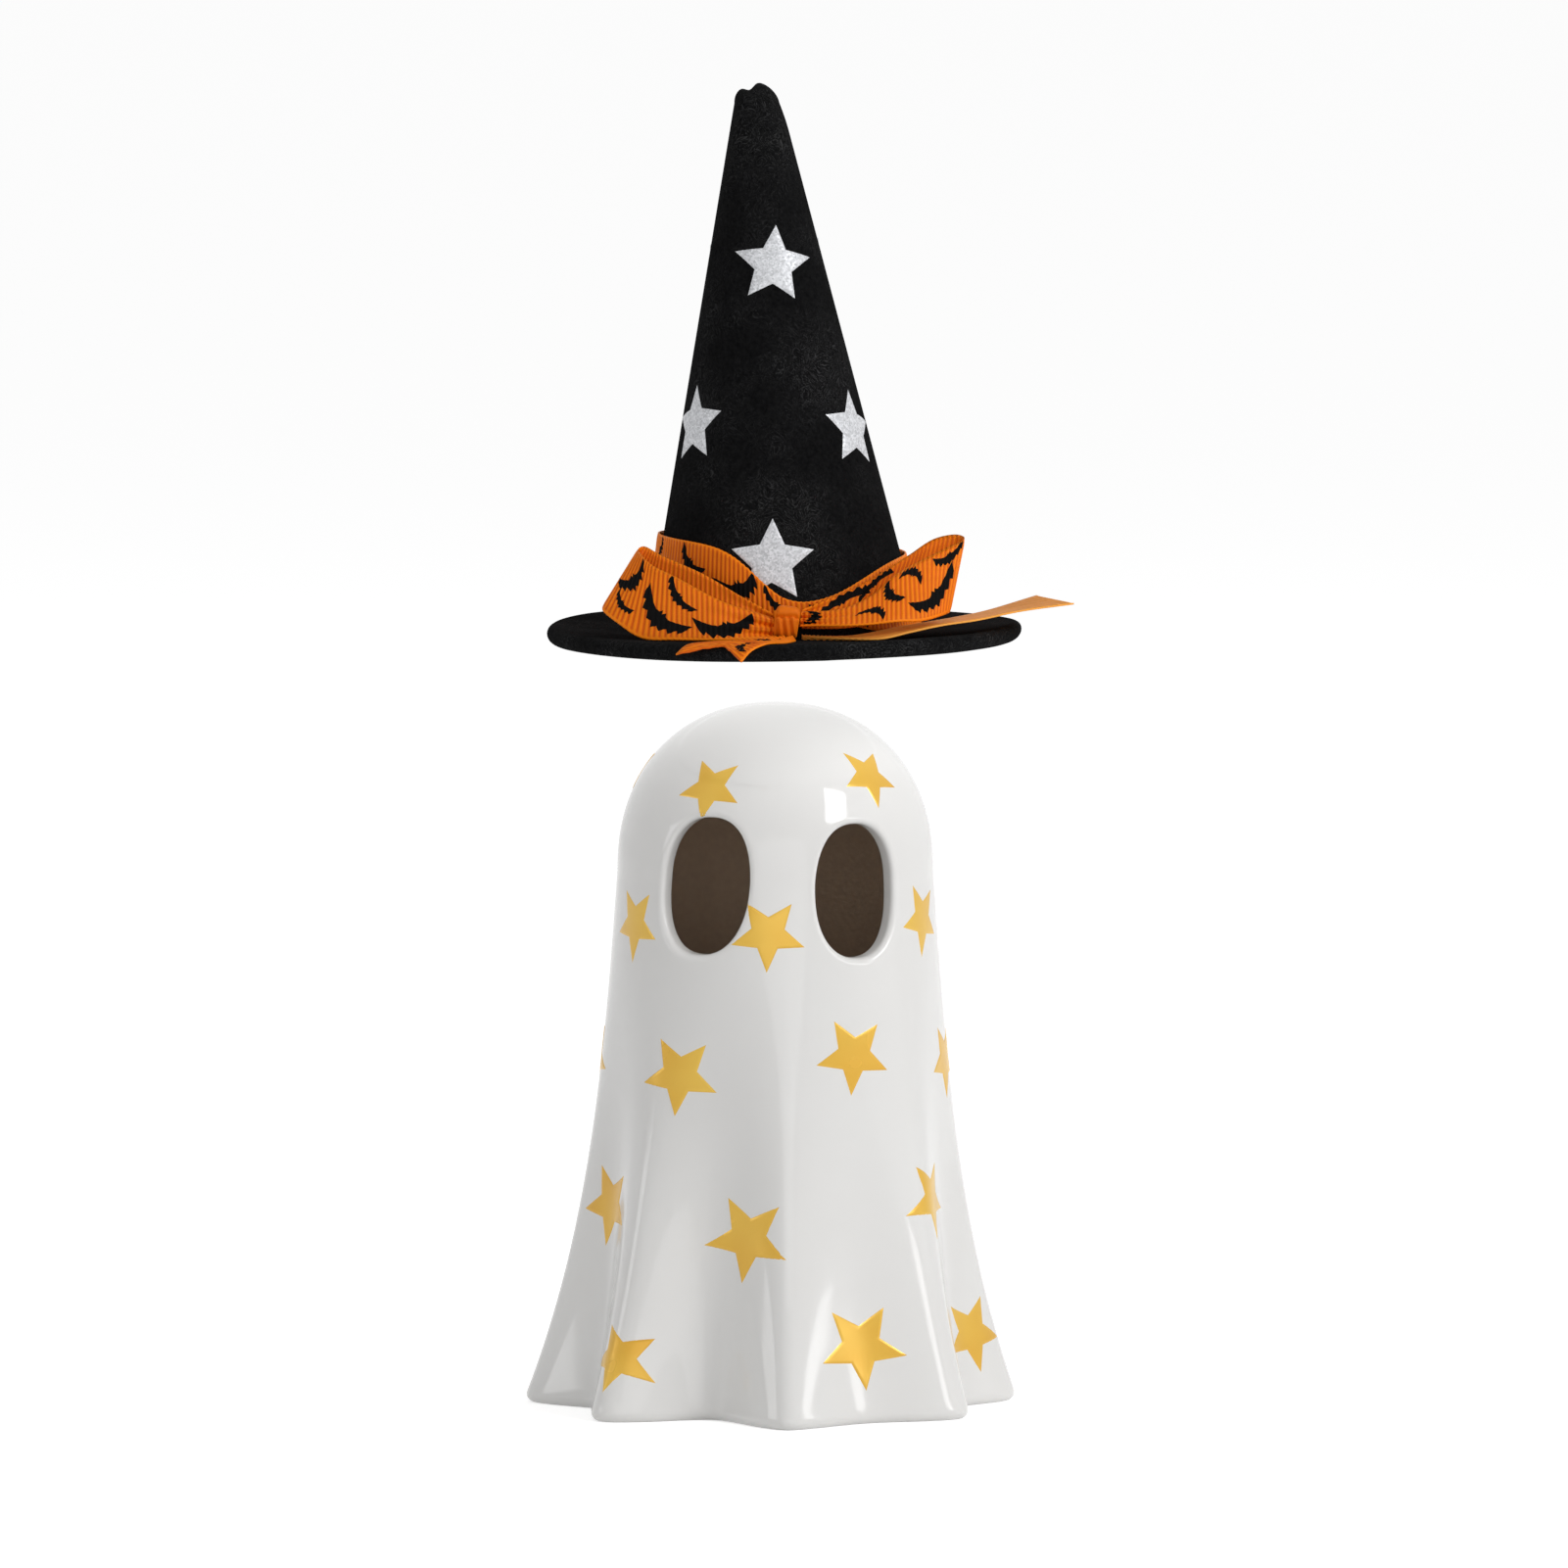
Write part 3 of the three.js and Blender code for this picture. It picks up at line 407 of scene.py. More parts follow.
def outerRadius(z, azimuth):
    if z >= skirtTop:
        return headRadiusAt(ghost["height"] - z, ghost["headRadius"], ghost["domeDepth"])
    share = skirtShare(z)
    valley, depth = foldAt(azimuth)
    flare = ghost["skirtFlare"] * share + ghost["hemBell"] * share ** ghost["bellPower"]
    return ghost["headRadius"] + flare - valley * share ** 2 * depth


def innerRadius(z, azimuth):
    wall = ghost["wall"]
    if z >= skirtTop:
        return headRadiusAt(ghost["height"] - wall - z, ghost["headRadius"] - wall,
                            ghost["domeDepth"] - wall)
    depth = foldAt(azimuth)[1]
    return outerRadius(z, azimuth) - wall - ghost["ridgeFill"] * skirtShare(z) ** 2 * (1 - depth) ** 2


def around(radius, azimuth, z, leanAt):
    turn = radians(azimuth)
    lean = ghost["hemLean"] * skirtShare(leanAt) ** 2
    return Vector((lean + radius * sin(turn), -radius * cos(turn), z))


def hemInset(z):
    rounding = ghost["hemRounding"]
    return rounding - sqrt(rounding ** 2 - max(0, rounding - z) ** 2)


# A point of the ghost's wall: kind says which face, value is a height or a share of the way across it
def wallPoint(kind, value, azimuth):
    recessRadius = outerRadius(0, azimuth) - ghost["hemRounding"] - ghost["footRim"]
    hole = ghost["plugHoleRadius"]
    if kind == "outside":
        return around(outerRadius(value, azimuth) - hemInset(value), azimuth, value, value)
    if kind == "inside":
        return around(innerRadius(value, azimuth), azimuth, value, value)
    if kind == "floor":
        wallSide = around(innerRadius(floorTop, azimuth), azimuth, floorTop, floorTop)
        return wallSide.lerp(around(hole, azimuth, floorTop, skirtTop), value)
    if kind == "hole":
        return around(hole, azimuth, value, skirtTop)
    if kind == "recess":
        wallSide = around(recessRadius, azimuth, ghost["footRecess"], 0)
        return around(hole, azimuth, ghost["footRecess"], skirtTop).lerp(wallSide, value)
    if kind == "recessWall":
        return around(recessRadius, azimuth, value, 0)
    return around(recessRadius + ghost["footRim"] * value, azimuth, 0, 0)


def domeHeights(top, depth, count):
    return [top - depth * (1 - sin(pi / 2 * index / count)) for index in range(1, count + 1)]


def ghostStations():
    recess, wall, rounding = ghost["footRecess"], ghost["wall"], ghost["hemRounding"]
    hem = [rounding * (1 - cos(pi / 2 * index / 6)) for index in range(1, 7)]
    skirt = steps(rounding, skirtTop, 74)[1:]
    inside = steps(floorTop, skirtTop, 70)
    inside += domeHeights(ghost["height"] - wall, ghost["domeDepth"] - wall, 30)
    return ([("inside", z) for z in reversed(inside)]
            + [("floor", share) for share in (0.02, 0.5, 0.98, 1)]
            + [("hole", z) for z in (floorTop - 0.3, recess + 0.3)]
            + [("recess", share) for share in (0, 0.03, 0.5, 0.97, 1)]
            + [("recessWall", z) for z in (recess - 0.3, 0.3)]
            + [("rim", share) for share in (0, 0.06, 0.9, 1)]
            + [("outside", z) for z in hem + skirt + domeHeights(ghost["height"], ghost["domeDepth"], 34)])


# Every fold gets the same number of steps, so that ridges and valleys fall on vertices
def foldAzimuth(share):
    folds = ghost["folds"]
    place = share % 1 * len(folds)
    index = min(int(place), len(folds) - 1)
    start = folds[index][0]
    end = folds[index + 1][0] if index + 1 < len(folds) else folds[0][0] + 360
    return start + (end - start) * (place - index)


# A point on a face of the wall, sideways and up from the middle of an eye
def eyePoint(kind, eyeAzimuth, z, sideways, depth=0):
    radius = outerRadius if kind == "outside" else innerRadius
    azimuth = eyeAzimuth
    for _ in range(4):
        reach = radius(z, azimuth)
        azimuth = eyeAzimuth + degrees(asin(max(-1, min(1, sideways / reach))))
    turn = radians(eyeAzimuth)
    outward = Vector((sin(turn), -cos(turn), 0))
    return around(radius(z, azimuth), azimuth, z, z) - outward * depth


def openEye(bm, stations, spots, eye):
    eyeAzimuth, centre, halfWidth, halfHeight, lean = eye
    turn = radians(eyeAzimuth)
    right = Vector((cos(turn), sin(turn), 0))
    power = ghost["eyePower"]
    rims = []
    for kind, lip, sign in (("outside", ghost["eyeLip"], 1), ("inside", ghost["eyeInnerLip"], -1)):
        radius = outerRadius if kind == "outside" else innerRadius
        span = degrees(asin((ghost["eyeMargin"] + halfWidth) / radius(centre, eyeAzimuth)))
        reach = ghost["eyeMargin"] + halfHeight

        def isInside(vert):
            station, azimuth = spots.get(vert, (None, 0))
            if station is None or stations[station][0] != kind:
                return False
            return (abs((azimuth - eyeAzimuth + 180) % 360 - 180) < span
                    and abs(vert.co.z - centre) < reach)

        window = [face for face in bm.faces if all(isInside(vert) for vert in face.verts)]
        edges = dict.fromkeys(edge for face in window for edge in face.edges)
        ring = [edge for edge in edges if sum(face in window for face in edge.link_faces) == 1]
        bmesh.ops.delete(bm, geom=window, context="FACES")
        frameOf = {vert: (vert.co.dot(right), vert.co.z - centre) for edge in ring for vert in edge.verts}
        moves = [(share, lip, 0) for share in steps(0.22, 1, 6)]
        moves += [(1, lip * (1 - sin(angle)), sign * lip * (1 - cos(angle)))
                  for angle in steps(0, pi / 2, 7)[1:]]
        for share, offset, depth in moves:
            grown = bmesh.ops.extrude_edge_only(bm, edges=ring)["geom"]
            ring = [item for item in grown if isinstance(item, bmesh.types.BMEdge)
                    and len(item.link_faces) == 1]
            fresh = {}
            for vert in dict.fromkeys(vert for edge in ring for vert in edge.verts):
                source = next(edge.other_vert(vert) for edge in vert.link_edges
                              if edge.other_vert(vert) in frameOf)
                fresh[vert] = frameOf[source]
            for vert, (sideways, up) in fresh.items():
                angle = atan2(up / halfHeight, sideways / halfWidth)
                fullness = (abs(cos(angle)) ** power + abs(sin(angle)) ** power) ** (-1 / power)
                rise = (halfHeight + offset) * fullness * sin(angle)
                goal = ((halfWidth + offset) * fullness * cos(angle) + lean * rise, rise)
                vert.co = eyePoint(kind, eyeAzimuth, centre + up + (goal[1] - up) * share,
                                   sideways + (goal[0] - sideways) * share, depth)
            frameOf = fresh
        rims += ring
    bmesh.ops.bridge_loops(bm, edges=rims)


def buildGhost():
    stations = ghostStations()
    bm = bmesh.new()
    chain = [bm.verts.new((1, 0, index)) for index in range(len(stations))]
    links = [bm.edges.new(pair) for pair in zip(chain, chain[1:])]
    count = ghost["stepsPerFold"] * len(ghost["folds"])
    bmesh.ops.spin(bm, geom=chain + links, cent=(0, 0, 0), axis=(0, 0, 1), dvec=(0, 0, 0),
                   angle=2 * pi, steps=count, use_merge=True)
    spots = {}
    for vert in bm.verts:
        share = round(atan2(vert.co.y, vert.co.x) / (2 * pi) * count) / count
        station = round(vert.co.z)
        spots[vert] = (station, foldAzimuth(share))
    for vert, (station, azimuth) in spots.items():
        vert.co = wallPoint(*stations[station], azimuth)
    for eye in ghost["eyes"]:
        openEye(bm, stations, spots, eye)
    kinds = [station[0] for station in stations]
    bareTo, footFrom = kinds.index("outside"), kinds.index("hole")
    # Foot faces take the lighter clay copy, which is partly painted light on the shaded underside. The
    # other bare faces take the inside clay.
    for face in bm.faces:
        known = [spots[vert][0] for vert in face.verts if vert in spots]
        if len(known) == len(face.verts) and max(known) <= bareTo:
            face.material_index = 2 if max(known) >= footFrom else 1
    bmesh.ops.remove_doubles(bm, verts=bm.verts, dist=0.001)
    bmesh.ops.recalc_face_normals(bm, faces=bm.faces)
    return bm


ghostMesh = buildGhost()
ghostTree = BVHTree.FromBMesh(ghostMesh)
print("ghost shaped")


def addTo(whole, bm):
    carrier = bpy.data.meshes.new("carrier")
    bm.to_mesh(carrier)
    bm.free()
    whole.from_mesh(carrier)
    bpy.data.meshes.remove(carrier)


# Five-pointed star, laid on a surface along its own normal, with its edge just under the surface
def addStar(whole, tree, spot, size, notch, turn, lift, cuts=6, squat=1):
    bm = bmesh.new()
    bmesh.ops.create_circle(bm, cap_ends=True, cap_tris=True, segments=10, radius=size)
    for vert in bm.verts:
        if vert.co.length > size / 2:
            corner = round(degrees(atan2(vert.co.x, vert.co.y)) / 36)
            angle = radians(turn + 36 * corner)
            reach = size if corner % 2 == 0 else size * notch
            vert.co = Vector((reach * sin(angle), squat * reach * cos(angle), 0))
    bmesh.ops.subdivide_edges(bm, edges=bm.edges[:], cuts=cuts, use_grid_fill=True)
    normal = tree.find_nearest(spot)[1]
    right = Vector((0, 0, 1)).cross(normal).normalized()
    up = normal.cross(right)
    for vert in bm.verts:
        start = spot + right * vert.co.x + up * vert.co.y + normal * size
        place, facing, _, _ = tree.ray_cast(start, -normal, 1.8 * size)
        if place is None:
            place, facing, _, _ = tree.find_nearest(start - normal * 1.1 * size)
        outward = facing if facing.dot(normal) > 0 else -facing
        vert.co = place + outward * (-0.02 if vert.is_boundary else lift)
    addTo(whole, bm)


goldStars = {
    "notch": 0.45, "lift": 0.1, "cuts": 9,
    "squat": 0.13,          # how much shorter a star at the hem is than a star on the head
    "stars": [              # azimuth, height, turn and size, row by row from the top
        (-28.4, 134, 4.7, 7.8), (45.6, 136, 5.2, 7.6), (112, 133, -8, 8), (172, 134, 12, 8),
        (226, 133, 0, 8), (-101, 136, 20, 8),
        (-2.6, 103.6, 1.6, 8.4), (-60.3, 104.2, 1, 8.6), (65.6, 105, 10, 8.5), (124, 103, -12, 8.6),
        (181, 104, 5, 8.6), (241, 103, 16, 8.6),
        (-34, 73.2, 4.9, 9.4), (27.8, 77.6, 6.2, 9.1), (84, 74, 4, 9), (-94, 74, -6, 9), (146, 75, 14, 9),
        (205, 74, -4, 9),
        (-69.2, 43.8, 6.2, 10.1), (-8.1, 39.2, 5.9, 10.7), (58.2, 46, 2, 9.9), (112, 42, -10, 9.9),
        (170, 43, 8, 9.9), (232, 42, 14, 9.9),
        (-43, 13.6, 13.5, 9.1), (26.2, 16.4, -1.7, 10.9), (81, 15.4, -8, 9.9), (136, 15, 10, 9.9),
        (196, 16, -8, 9.9), (258, 15, 6, 9.9),
    ],
}


def buildGoldStars():
    bm = bmesh.new()
    for azimuth, height, turn, size in goldStars["stars"]:
        addStar(bm, ghostTree, wallPoint("outside", height, azimuth), size, goldStars["notch"], 180 + turn,
                goldStars["lift"], goldStars["cuts"], 1 - goldStars["squat"] * skirtShare(height))
    bmesh.ops.recalc_face_normals(bm, faces=bm.faces)
    return bm


makePiece(buildGoldStars(), "gold_stars", ghostBase, "ghost", ["gold"])
makePiece(ghostMesh, "ghost_body", ghostBase, "ghost", ["glaze", "bisque", "foot"],
          ["ghost_shell"])


# Felt hat
hat = {
    "brimRadius": 50.6, "brimThickness": 3.6, "holeRadius": 27.2,
    "footRadius": 29, "slope": 0.2143, "lean": -0.05, "height": 116.3, "rounding": 4.4,
    "felt": 1.8, "seam": 0.2, "notch": 1.5, "notchSide": -1.6, "notchWidth": 1.5, "tipTaper": 0.2,
    "curlFrom": 36, "sides": 144,
    "rimLifts": [(-120, 1.4, 2), (100, 1.9, 1), (0, 0.4, 2)],  # azimuth, height and narrowness of a curl
}


def coneRadius(height):
    straightTop = hat["height"] - hat["rounding"]
    if height <= straightTop:
        return hat["footRadius"] - hat["slope"] * height
    share = min(1, (height - straightTop) / hat["rounding"])
    return (hat["footRadius"] - hat["slope"] * straightTop) * sqrt(1 - share ** 2)


def spinProfile(profile, sides, closed=False):
    bm = bmesh.new()
    chain = [bm.verts.new((radius, 0, z)) for radius, z in profile]
    pairs = list(zip(chain, chain[1:])) + ([(chain[-1], chain[0])] if closed else [])
    links = [bm.edges.new(pair) for pair in pairs]
    bmesh.ops.spin(bm, geom=chain + links, cent=(0, 0, 0), axis=(0, 0, 1), dvec=(0, 0, 0),
                   angle=2 * pi, steps=sides, use_merge=True)
    bmesh.ops.remove_doubles(bm, verts=bm.verts, dist=0.001)
    bmesh.ops.recalc_face_normals(bm, faces=bm.faces)
    return bm


def buildBrim():
    half = hat["brimThickness"] / 2
    edge = [(hat["brimRadius"] - half + half * cos(angle), half + half * sin(angle))
            for angle in steps(-pi / 2, pi / 2, 13)]
    hole, top = hat["holeRadius"], hat["brimThickness"]
    under = [(radius, 0) for radius in (hole + 0.3, 34, 40, 46)]
    over = [(radius, top) for radius in (46, 40, 34, hole + 0.3)]
    bm = spinProfile([(hole, top - 0.3), (hole, 0.3)] + under + edge + over, hat["sides"], closed=True)
    for vert in bm.verts:
        turn = atan2(vert.co.x, -vert.co.y)
        share = max(0, (vert.co.xy.length - hat["curlFrom"]) / (hat["brimRadius"] - hat["curlFrom"]))
        curl = sum(lift * max(0, cos(turn - radians(azimuth))) ** power
                   for azimuth, lift, power in hat["rimLifts"])
        vert.co.z += share ** 2 * (0.25 * sin(2 * turn + 0.6) + 0.12 * sin(5 * turn) + curl)
    return bm


def buildCone():
    straightTop = hat["height"] - hat["rounding"]
    rounded = [straightTop + hat["rounding"] * sin(pi / 2 * index / 14) for index in range(1, 15)]
    outside = [(coneRadius(height), height) for height in steps(0.3, straightTop, 60) + rounded]
    insideTop = straightTop - hat["felt"]
    inside = [(max(0.01, coneRadius(height) - hat["felt"]), height) for height in steps(insideTop, 0.3, 30)]
    sunk = -hat["seam"] - 0.3  # a little way into the brim's felt, so that no light passes under the foot
    foot = [(coneRadius(0) - hat["felt"] + 0.3, sunk), (coneRadius(0) - 0.3, sunk)]
    bm = spinProfile([(0, insideTop)] + inside + foot + outside, hat["sides"])
    for vert in bm.verts:
        height = vert.co.z
        near = max(0, (height - straightTop + 6) / (hat["rounding"] + 6))
        dip = exp(-((vert.co.x - hat["notchSide"]) / hat["notchWidth"]) ** 2)
        vert.co.z -= hat["notch"] * dip * near ** 2
        vert.co.x -= hat["tipTaper"] * max(0, vert.co.x - hat["notchSide"]) * near ** 2
        vert.co.x += hat["lean"] * height
    return bm


coneMesh = buildCone()
coneTree = BVHTree.FromBMesh(coneMesh)
coneBase = hatBase + Vector((0, 0, (hat["brimThickness"] + hat["seam"]) * mm))

silverStars = {
    "notch": 0.49, "lift": 0.22,
    "stars": [              # azimuth, height on the cone, turn and size
        (8, 78.2, 5, 8.6), (-60, 44, -8, 8.6), (59, 43.2, 8, 8.6), (-4, 16, 0, 9.3), (130, 80, 10, 8.6),
        (-130, 79, -6, 8.6), (180, 47, 4, 8.6), (118, 15, 6, 8.6), (-118, 16, -8, 8.6),
    ],
}


def buildSilverStars():
    bm = bmesh.new()
    for azimuth, height, turn, size in silverStars["stars"]:
        angle = radians(azimuth)
        radius = coneRadius(height)
        spot = Vector((hat["lean"] * height + radius * sin(angle), -radius * cos(angle), height))
        addStar(bm, coneTree, spot, size, silverStars["notch"], turn, silverStars["lift"])
    bmesh.ops.recalc_face_normals(bm, faces=bm.faces)
    return bm


makePiece(buildSilverStars(), "silver_stars", coneBase, "hat", ["glitter"])
makePiece(coneMesh, "felt_cone", coneBase, "hat", ["felt"], ["hat_cone"])
makePiece(buildBrim(), "felt_brim", hatBase, "hat", ["felt"], ["hat_brim"])


# Strips between two edge curves, each point sideways, forward of the hat's axis and above the brim
loopLeft = {
    "lower": [(-2.3, 34, 0.8), (-13.4, 37, 0.6), (-22.8, 36, 0.6), (-29.9, 34, 0.8), (-34.9, 31, 3.6),
              (-38.5, 26.5, 6.4), (-37, 23.4, 6.9), (-28, 26.6, 3), (-17, 30.8, 1.6), (-9, 32.4, 1.2),
              (-2.3, 32.3, 1.2)],
    "upper": [(-2.3, 33.4, 5), (-13.4, 34, 8.6), (-22.8, 31, 13.3), (-28, 28, 15.7), (-29.9, 25.5, 17.3),
              (-30.9, 20.8, 18.6), (-29.6, 18.6, 18.9), (-26, 21.4, 17.2), (-17, 27.2, 13.6), (-9, 31, 9.2),
              (-2.3, 31.7, 5.6)],
}
loopRight = {
    "lower": [(3.7, 33.6, 3.2), (12.1, 38, 3.6), (18.5, 38, 4), (23.6, 37, 4.5), (29, 34, 4.5),
              (32.6, 30, 5.1), (35.1, 25.6, 5.9), (33.4, 22.8, 6.2), (28, 25.4, 4.9), (21, 28.8, 3.9),
              (13, 31.6, 2.9), (3.7, 32, 2.8)],
    "upper": [(3.7, 32.8, 6.4), (12.1, 33.8, 7), (18.5, 33.2, 9.7), (23.6, 31, 13.9), (28.4, 28.5, 16.4),
              (33.6, 25, 18.7), (38.2, 20.8, 20.8), (36.4, 18, 21.4), (31.9, 19, 20.6), (25.8, 22.8, 17),
              (16, 28.2, 11.4), (3.7, 31.4, 6.4)],
}
tailRight = {
    "lower": [(3.7, 31.8, 0.7), (13.4, 36, 0.7), (20.5, 39.6, 1), (26.5, 37, 2.2), (33, 33.8, 3.4),
              (41, 29.5, 4.3), (50, 25, 5.8), (61.4, 20, 7)],
    "upper": [(3.7, 30.6, 0.7), (9, 30.2, 0.7), (14.6, 29.4, 0.9), (24.2, 22.6, 2.2), (33.3, 16, 3.2),
              (42.3, 11, 4.6), (53.7, 6, 7.6)],
}
tailLeft = {
    "lower": [(-1.9, 36, 0.8), (-9, 40.4, 0.7), (-16.5, 45, 0.7), (-20.5, 47.8, 0.3), (-22.8, 50.4, -1.4)],
    "upper": [(2.5, 36, 0.8), (0.5, 43, 0.7), (-4, 49.2, 0.7), (-7, 52.6, -0.5), (-9, 54, -2.7)],
}
band = {
    "tilt": 2.1, "top": 18.4, "dip": 10.3, "lift": 0.6, "standOff": 0.5, "loose": 0.8,
    "knotAzimuth": 6, "dipLeft": 22, "dipRight": 38, "stations": 48,
    "gather": 2.8, "gatherAt": 12, "gatherReach": 20,  # the lower edge is drawn up beside the knot
}


def smoothCurve(points, closed):
    knots = [Vector((x, -forward, z)) for x, forward, z in points]
    count = len(knots)

    def at(index):
        if closed:
            return knots[index % count]
        if index < 0:
            return knots[0] * 2 - knots[1]
        return knots[index] if index < count else knots[-1] * 2 - knots[-2]

    def evaluate(share):
        place = share * (count if closed else count - 1)
        index = min(int(place), count - 1 if closed else count - 2)
        rest = place - index
        before, start, end, after = (at(index + offset) for offset in (-1, 0, 1, 2))
        first, gap, last = (max(1e-6, (b - a).length ** 0.5)
                            for a, b in ((before, start), (start, end), (end, after)))
        into = ((start - before) / first - (end - before) / (first + gap) + (end - start) / gap) * gap
        out = ((end - start) / gap - (after - start) / (gap + last) + (after - end) / last) * gap
        return (start + into * rest + (3 * (end - start) - 2 * into - out) * rest ** 2
                + (2 * (start - end) + into + out) * rest ** 3)

    return evaluate


# The strip's own surface: a place along it in millimetres and a share across it
class Strip:
    def __init__(self, edges, closed=False, pleats=(0, 0), facing=1, notch=0):
        self.low = smoothCurve(edges["lower"], closed)
        self.high = smoothCurve(edges["upper"], closed)
        self.closed = closed
        self.pleats = pleats
        self.facing = facing
        self.notch = notch
        samples = 300
        middle = [(self.low(share) + self.high(share)) / 2 for share in steps(0, 1, samples + 1)]
        self.lengths = [0]
        for start, end in zip(middle, middle[1:]):
            self.lengths.append(self.lengths[-1] + (end - start).length)
        self.length = self.lengths[-1]
        self.rows = round(self.length / ribbon["ribPitch"]) * ribbon["rowsPerRib"]

    def shareAt(self, along):
        if self.closed:
            along %= self.length
        along = max(0, min(self.length, along))
        low, high = 0, len(self.lengths) - 1
        while high - low > 1:
            middle = (low + high) // 2
            if self.lengths[middle] <= along:
                low = middle
            else:
                high = middle
        span = self.lengths[high] - self.lengths[low]
        return (low + (along - self.lengths[low]) / span) / (len(self.lengths) - 1)

    def flat(self, along, across):
        share = self.shareAt(along)
        return self.low(share).lerp(self.high(share), across)

    def normal(self, along, across):
        run = self.flat(along + 0.4, across) - self.flat(along - 0.4, across)
        rise = self.flat(along, min(1, across + 0.1)) - self.flat(along, max(0, across - 0.1))
        return run.cross(rise).normalized() * self.facing

    def relief(self, along, across):
        inset = min(across, 1 - across) * ribbon["width"]
        ribs = ribbon["ribHeight"] * cos(2 * pi * along / ribbon["ribPitch"])
        start, end = self.pleats
        fade = ribbon["pleatFade"]
        gather = start * exp(-along / fade) + end * exp(-(self.length - along) / fade)
        return ribs * min(1, inset / 0.5) + gather * cos(5 * pi * across)

    def point(self, along, across, lift=0):
        return self.flat(along, across) + self.normal(along, across) * (self.relief(along, across) + lift)


def bandEdges():
    edges = {"lower": [], "upper": []}
    for station in range(band["stations"]):
        azimuth = 360 * station / band["stations"]
        turn = radians(azimuth)
        away = (azimuth - band["knotAzimuth"] + 180) % 360 - 180
        reach = band["dipLeft"] if away < 0 else band["dipRight"]
        top = band["top"] - band["tilt"] * sin(turn) - band["dip"] * exp(-(away / reach) ** 2)
        drawnUp = band["gather"] * exp(-((away - band["gatherAt"]) / band["gatherReach"]) ** 2)
        for name, height, extra in (("lower", max(band["lift"], top - ribbon["width"]) + drawnUp, 0),
                                    ("upper", top, band["loose"])):
            radius = coneRadius(height) + band["standOff"] + extra
            edges[name].append((hat["lean"] * height + radius * sin(turn),
                                radius * cos(turn), height))
    return edges


strips = {
    "hat_band": Strip(bandEdges(), closed=True, facing=1),
    "bow_loop_left": Strip(loopLeft, pleats=(0.7, 0.4), facing=-1),
    "bow_loop_right": Strip(loopRight, pleats=(0.7, 0.4)),
    "bow_tail_right": Strip(tailRight, pleats=(0.4, 0)),
    "bow_tail_left": Strip(tailLeft, pleats=(0.5, 0), notch=ribbon["notch"]),
}


def buildStrip(strip):
    bm = bmesh.new()
    weave = bm.loops.layers.uv.new("ribbonWeave")
    bmesh.ops.create_grid(bm, x_segments=strip.rows, y_segments=ribbon["columns"], size=0.5)
    spots = {vert: (vert.co.x + 0.5, vert.co.y + 0.5) for vert in bm.verts}
    for face in bm.faces:
        for loop in face.loops:
            share, across = spots[loop.vert]
            loop[weave].uv = (share * strip.length / ribbon["width"], across)
    for vert, (share, across) in spots.items():
        cutIn = strip.notch * (1 - abs(2 * across - 1)) * share ** 4
        vert.co = strip.point(share * strip.length - cutIn, across)
    if strip.closed:
        bmesh.ops.remove_doubles(bm, verts=bm.verts, dist=0.01)
    bmesh.ops.solidify(bm, geom=bm.faces[:], thickness=ribbon["thickness"])
    bmesh.ops.recalc_face_normals(bm, faces=bm.faces)
    strip.tree = BVHTree.FromBMesh(bm)
    return bm


bowBase = hatBase + Vector((0, 0, hat["brimThickness"] * mm))
for stripName, strip in strips.items():
    # The right tail takes the lighter ribbon copy, painted sheen
    finish = "ribbonSheenCopy" if stripName == "bow_tail_right" else "ribbon"
    piece = makePiece(buildStrip(strip), stripName + "_ribbon", bowBase, "hat", [finish],
                      [stripName])
    widths = [(strip.high(share) - strip.low(share)).length for share in steps(1 / 400, 399 / 400, 200)]


# Knot: the ribbon gathered into a narrow wrap, with one fold rolled over slanted pleats
knot = {
    "width": 5.1, "height": 7, "depth": 4.6, "side": 0.5, "forward": 33.4, "lift": 0.4, "tilt": 8,
    "pleats": 3.3, "slant": 1.3, "pleatDepth": 0.3, "crease": 1.6, "creaseDepth": 0.9, "shade": 0.02,
}


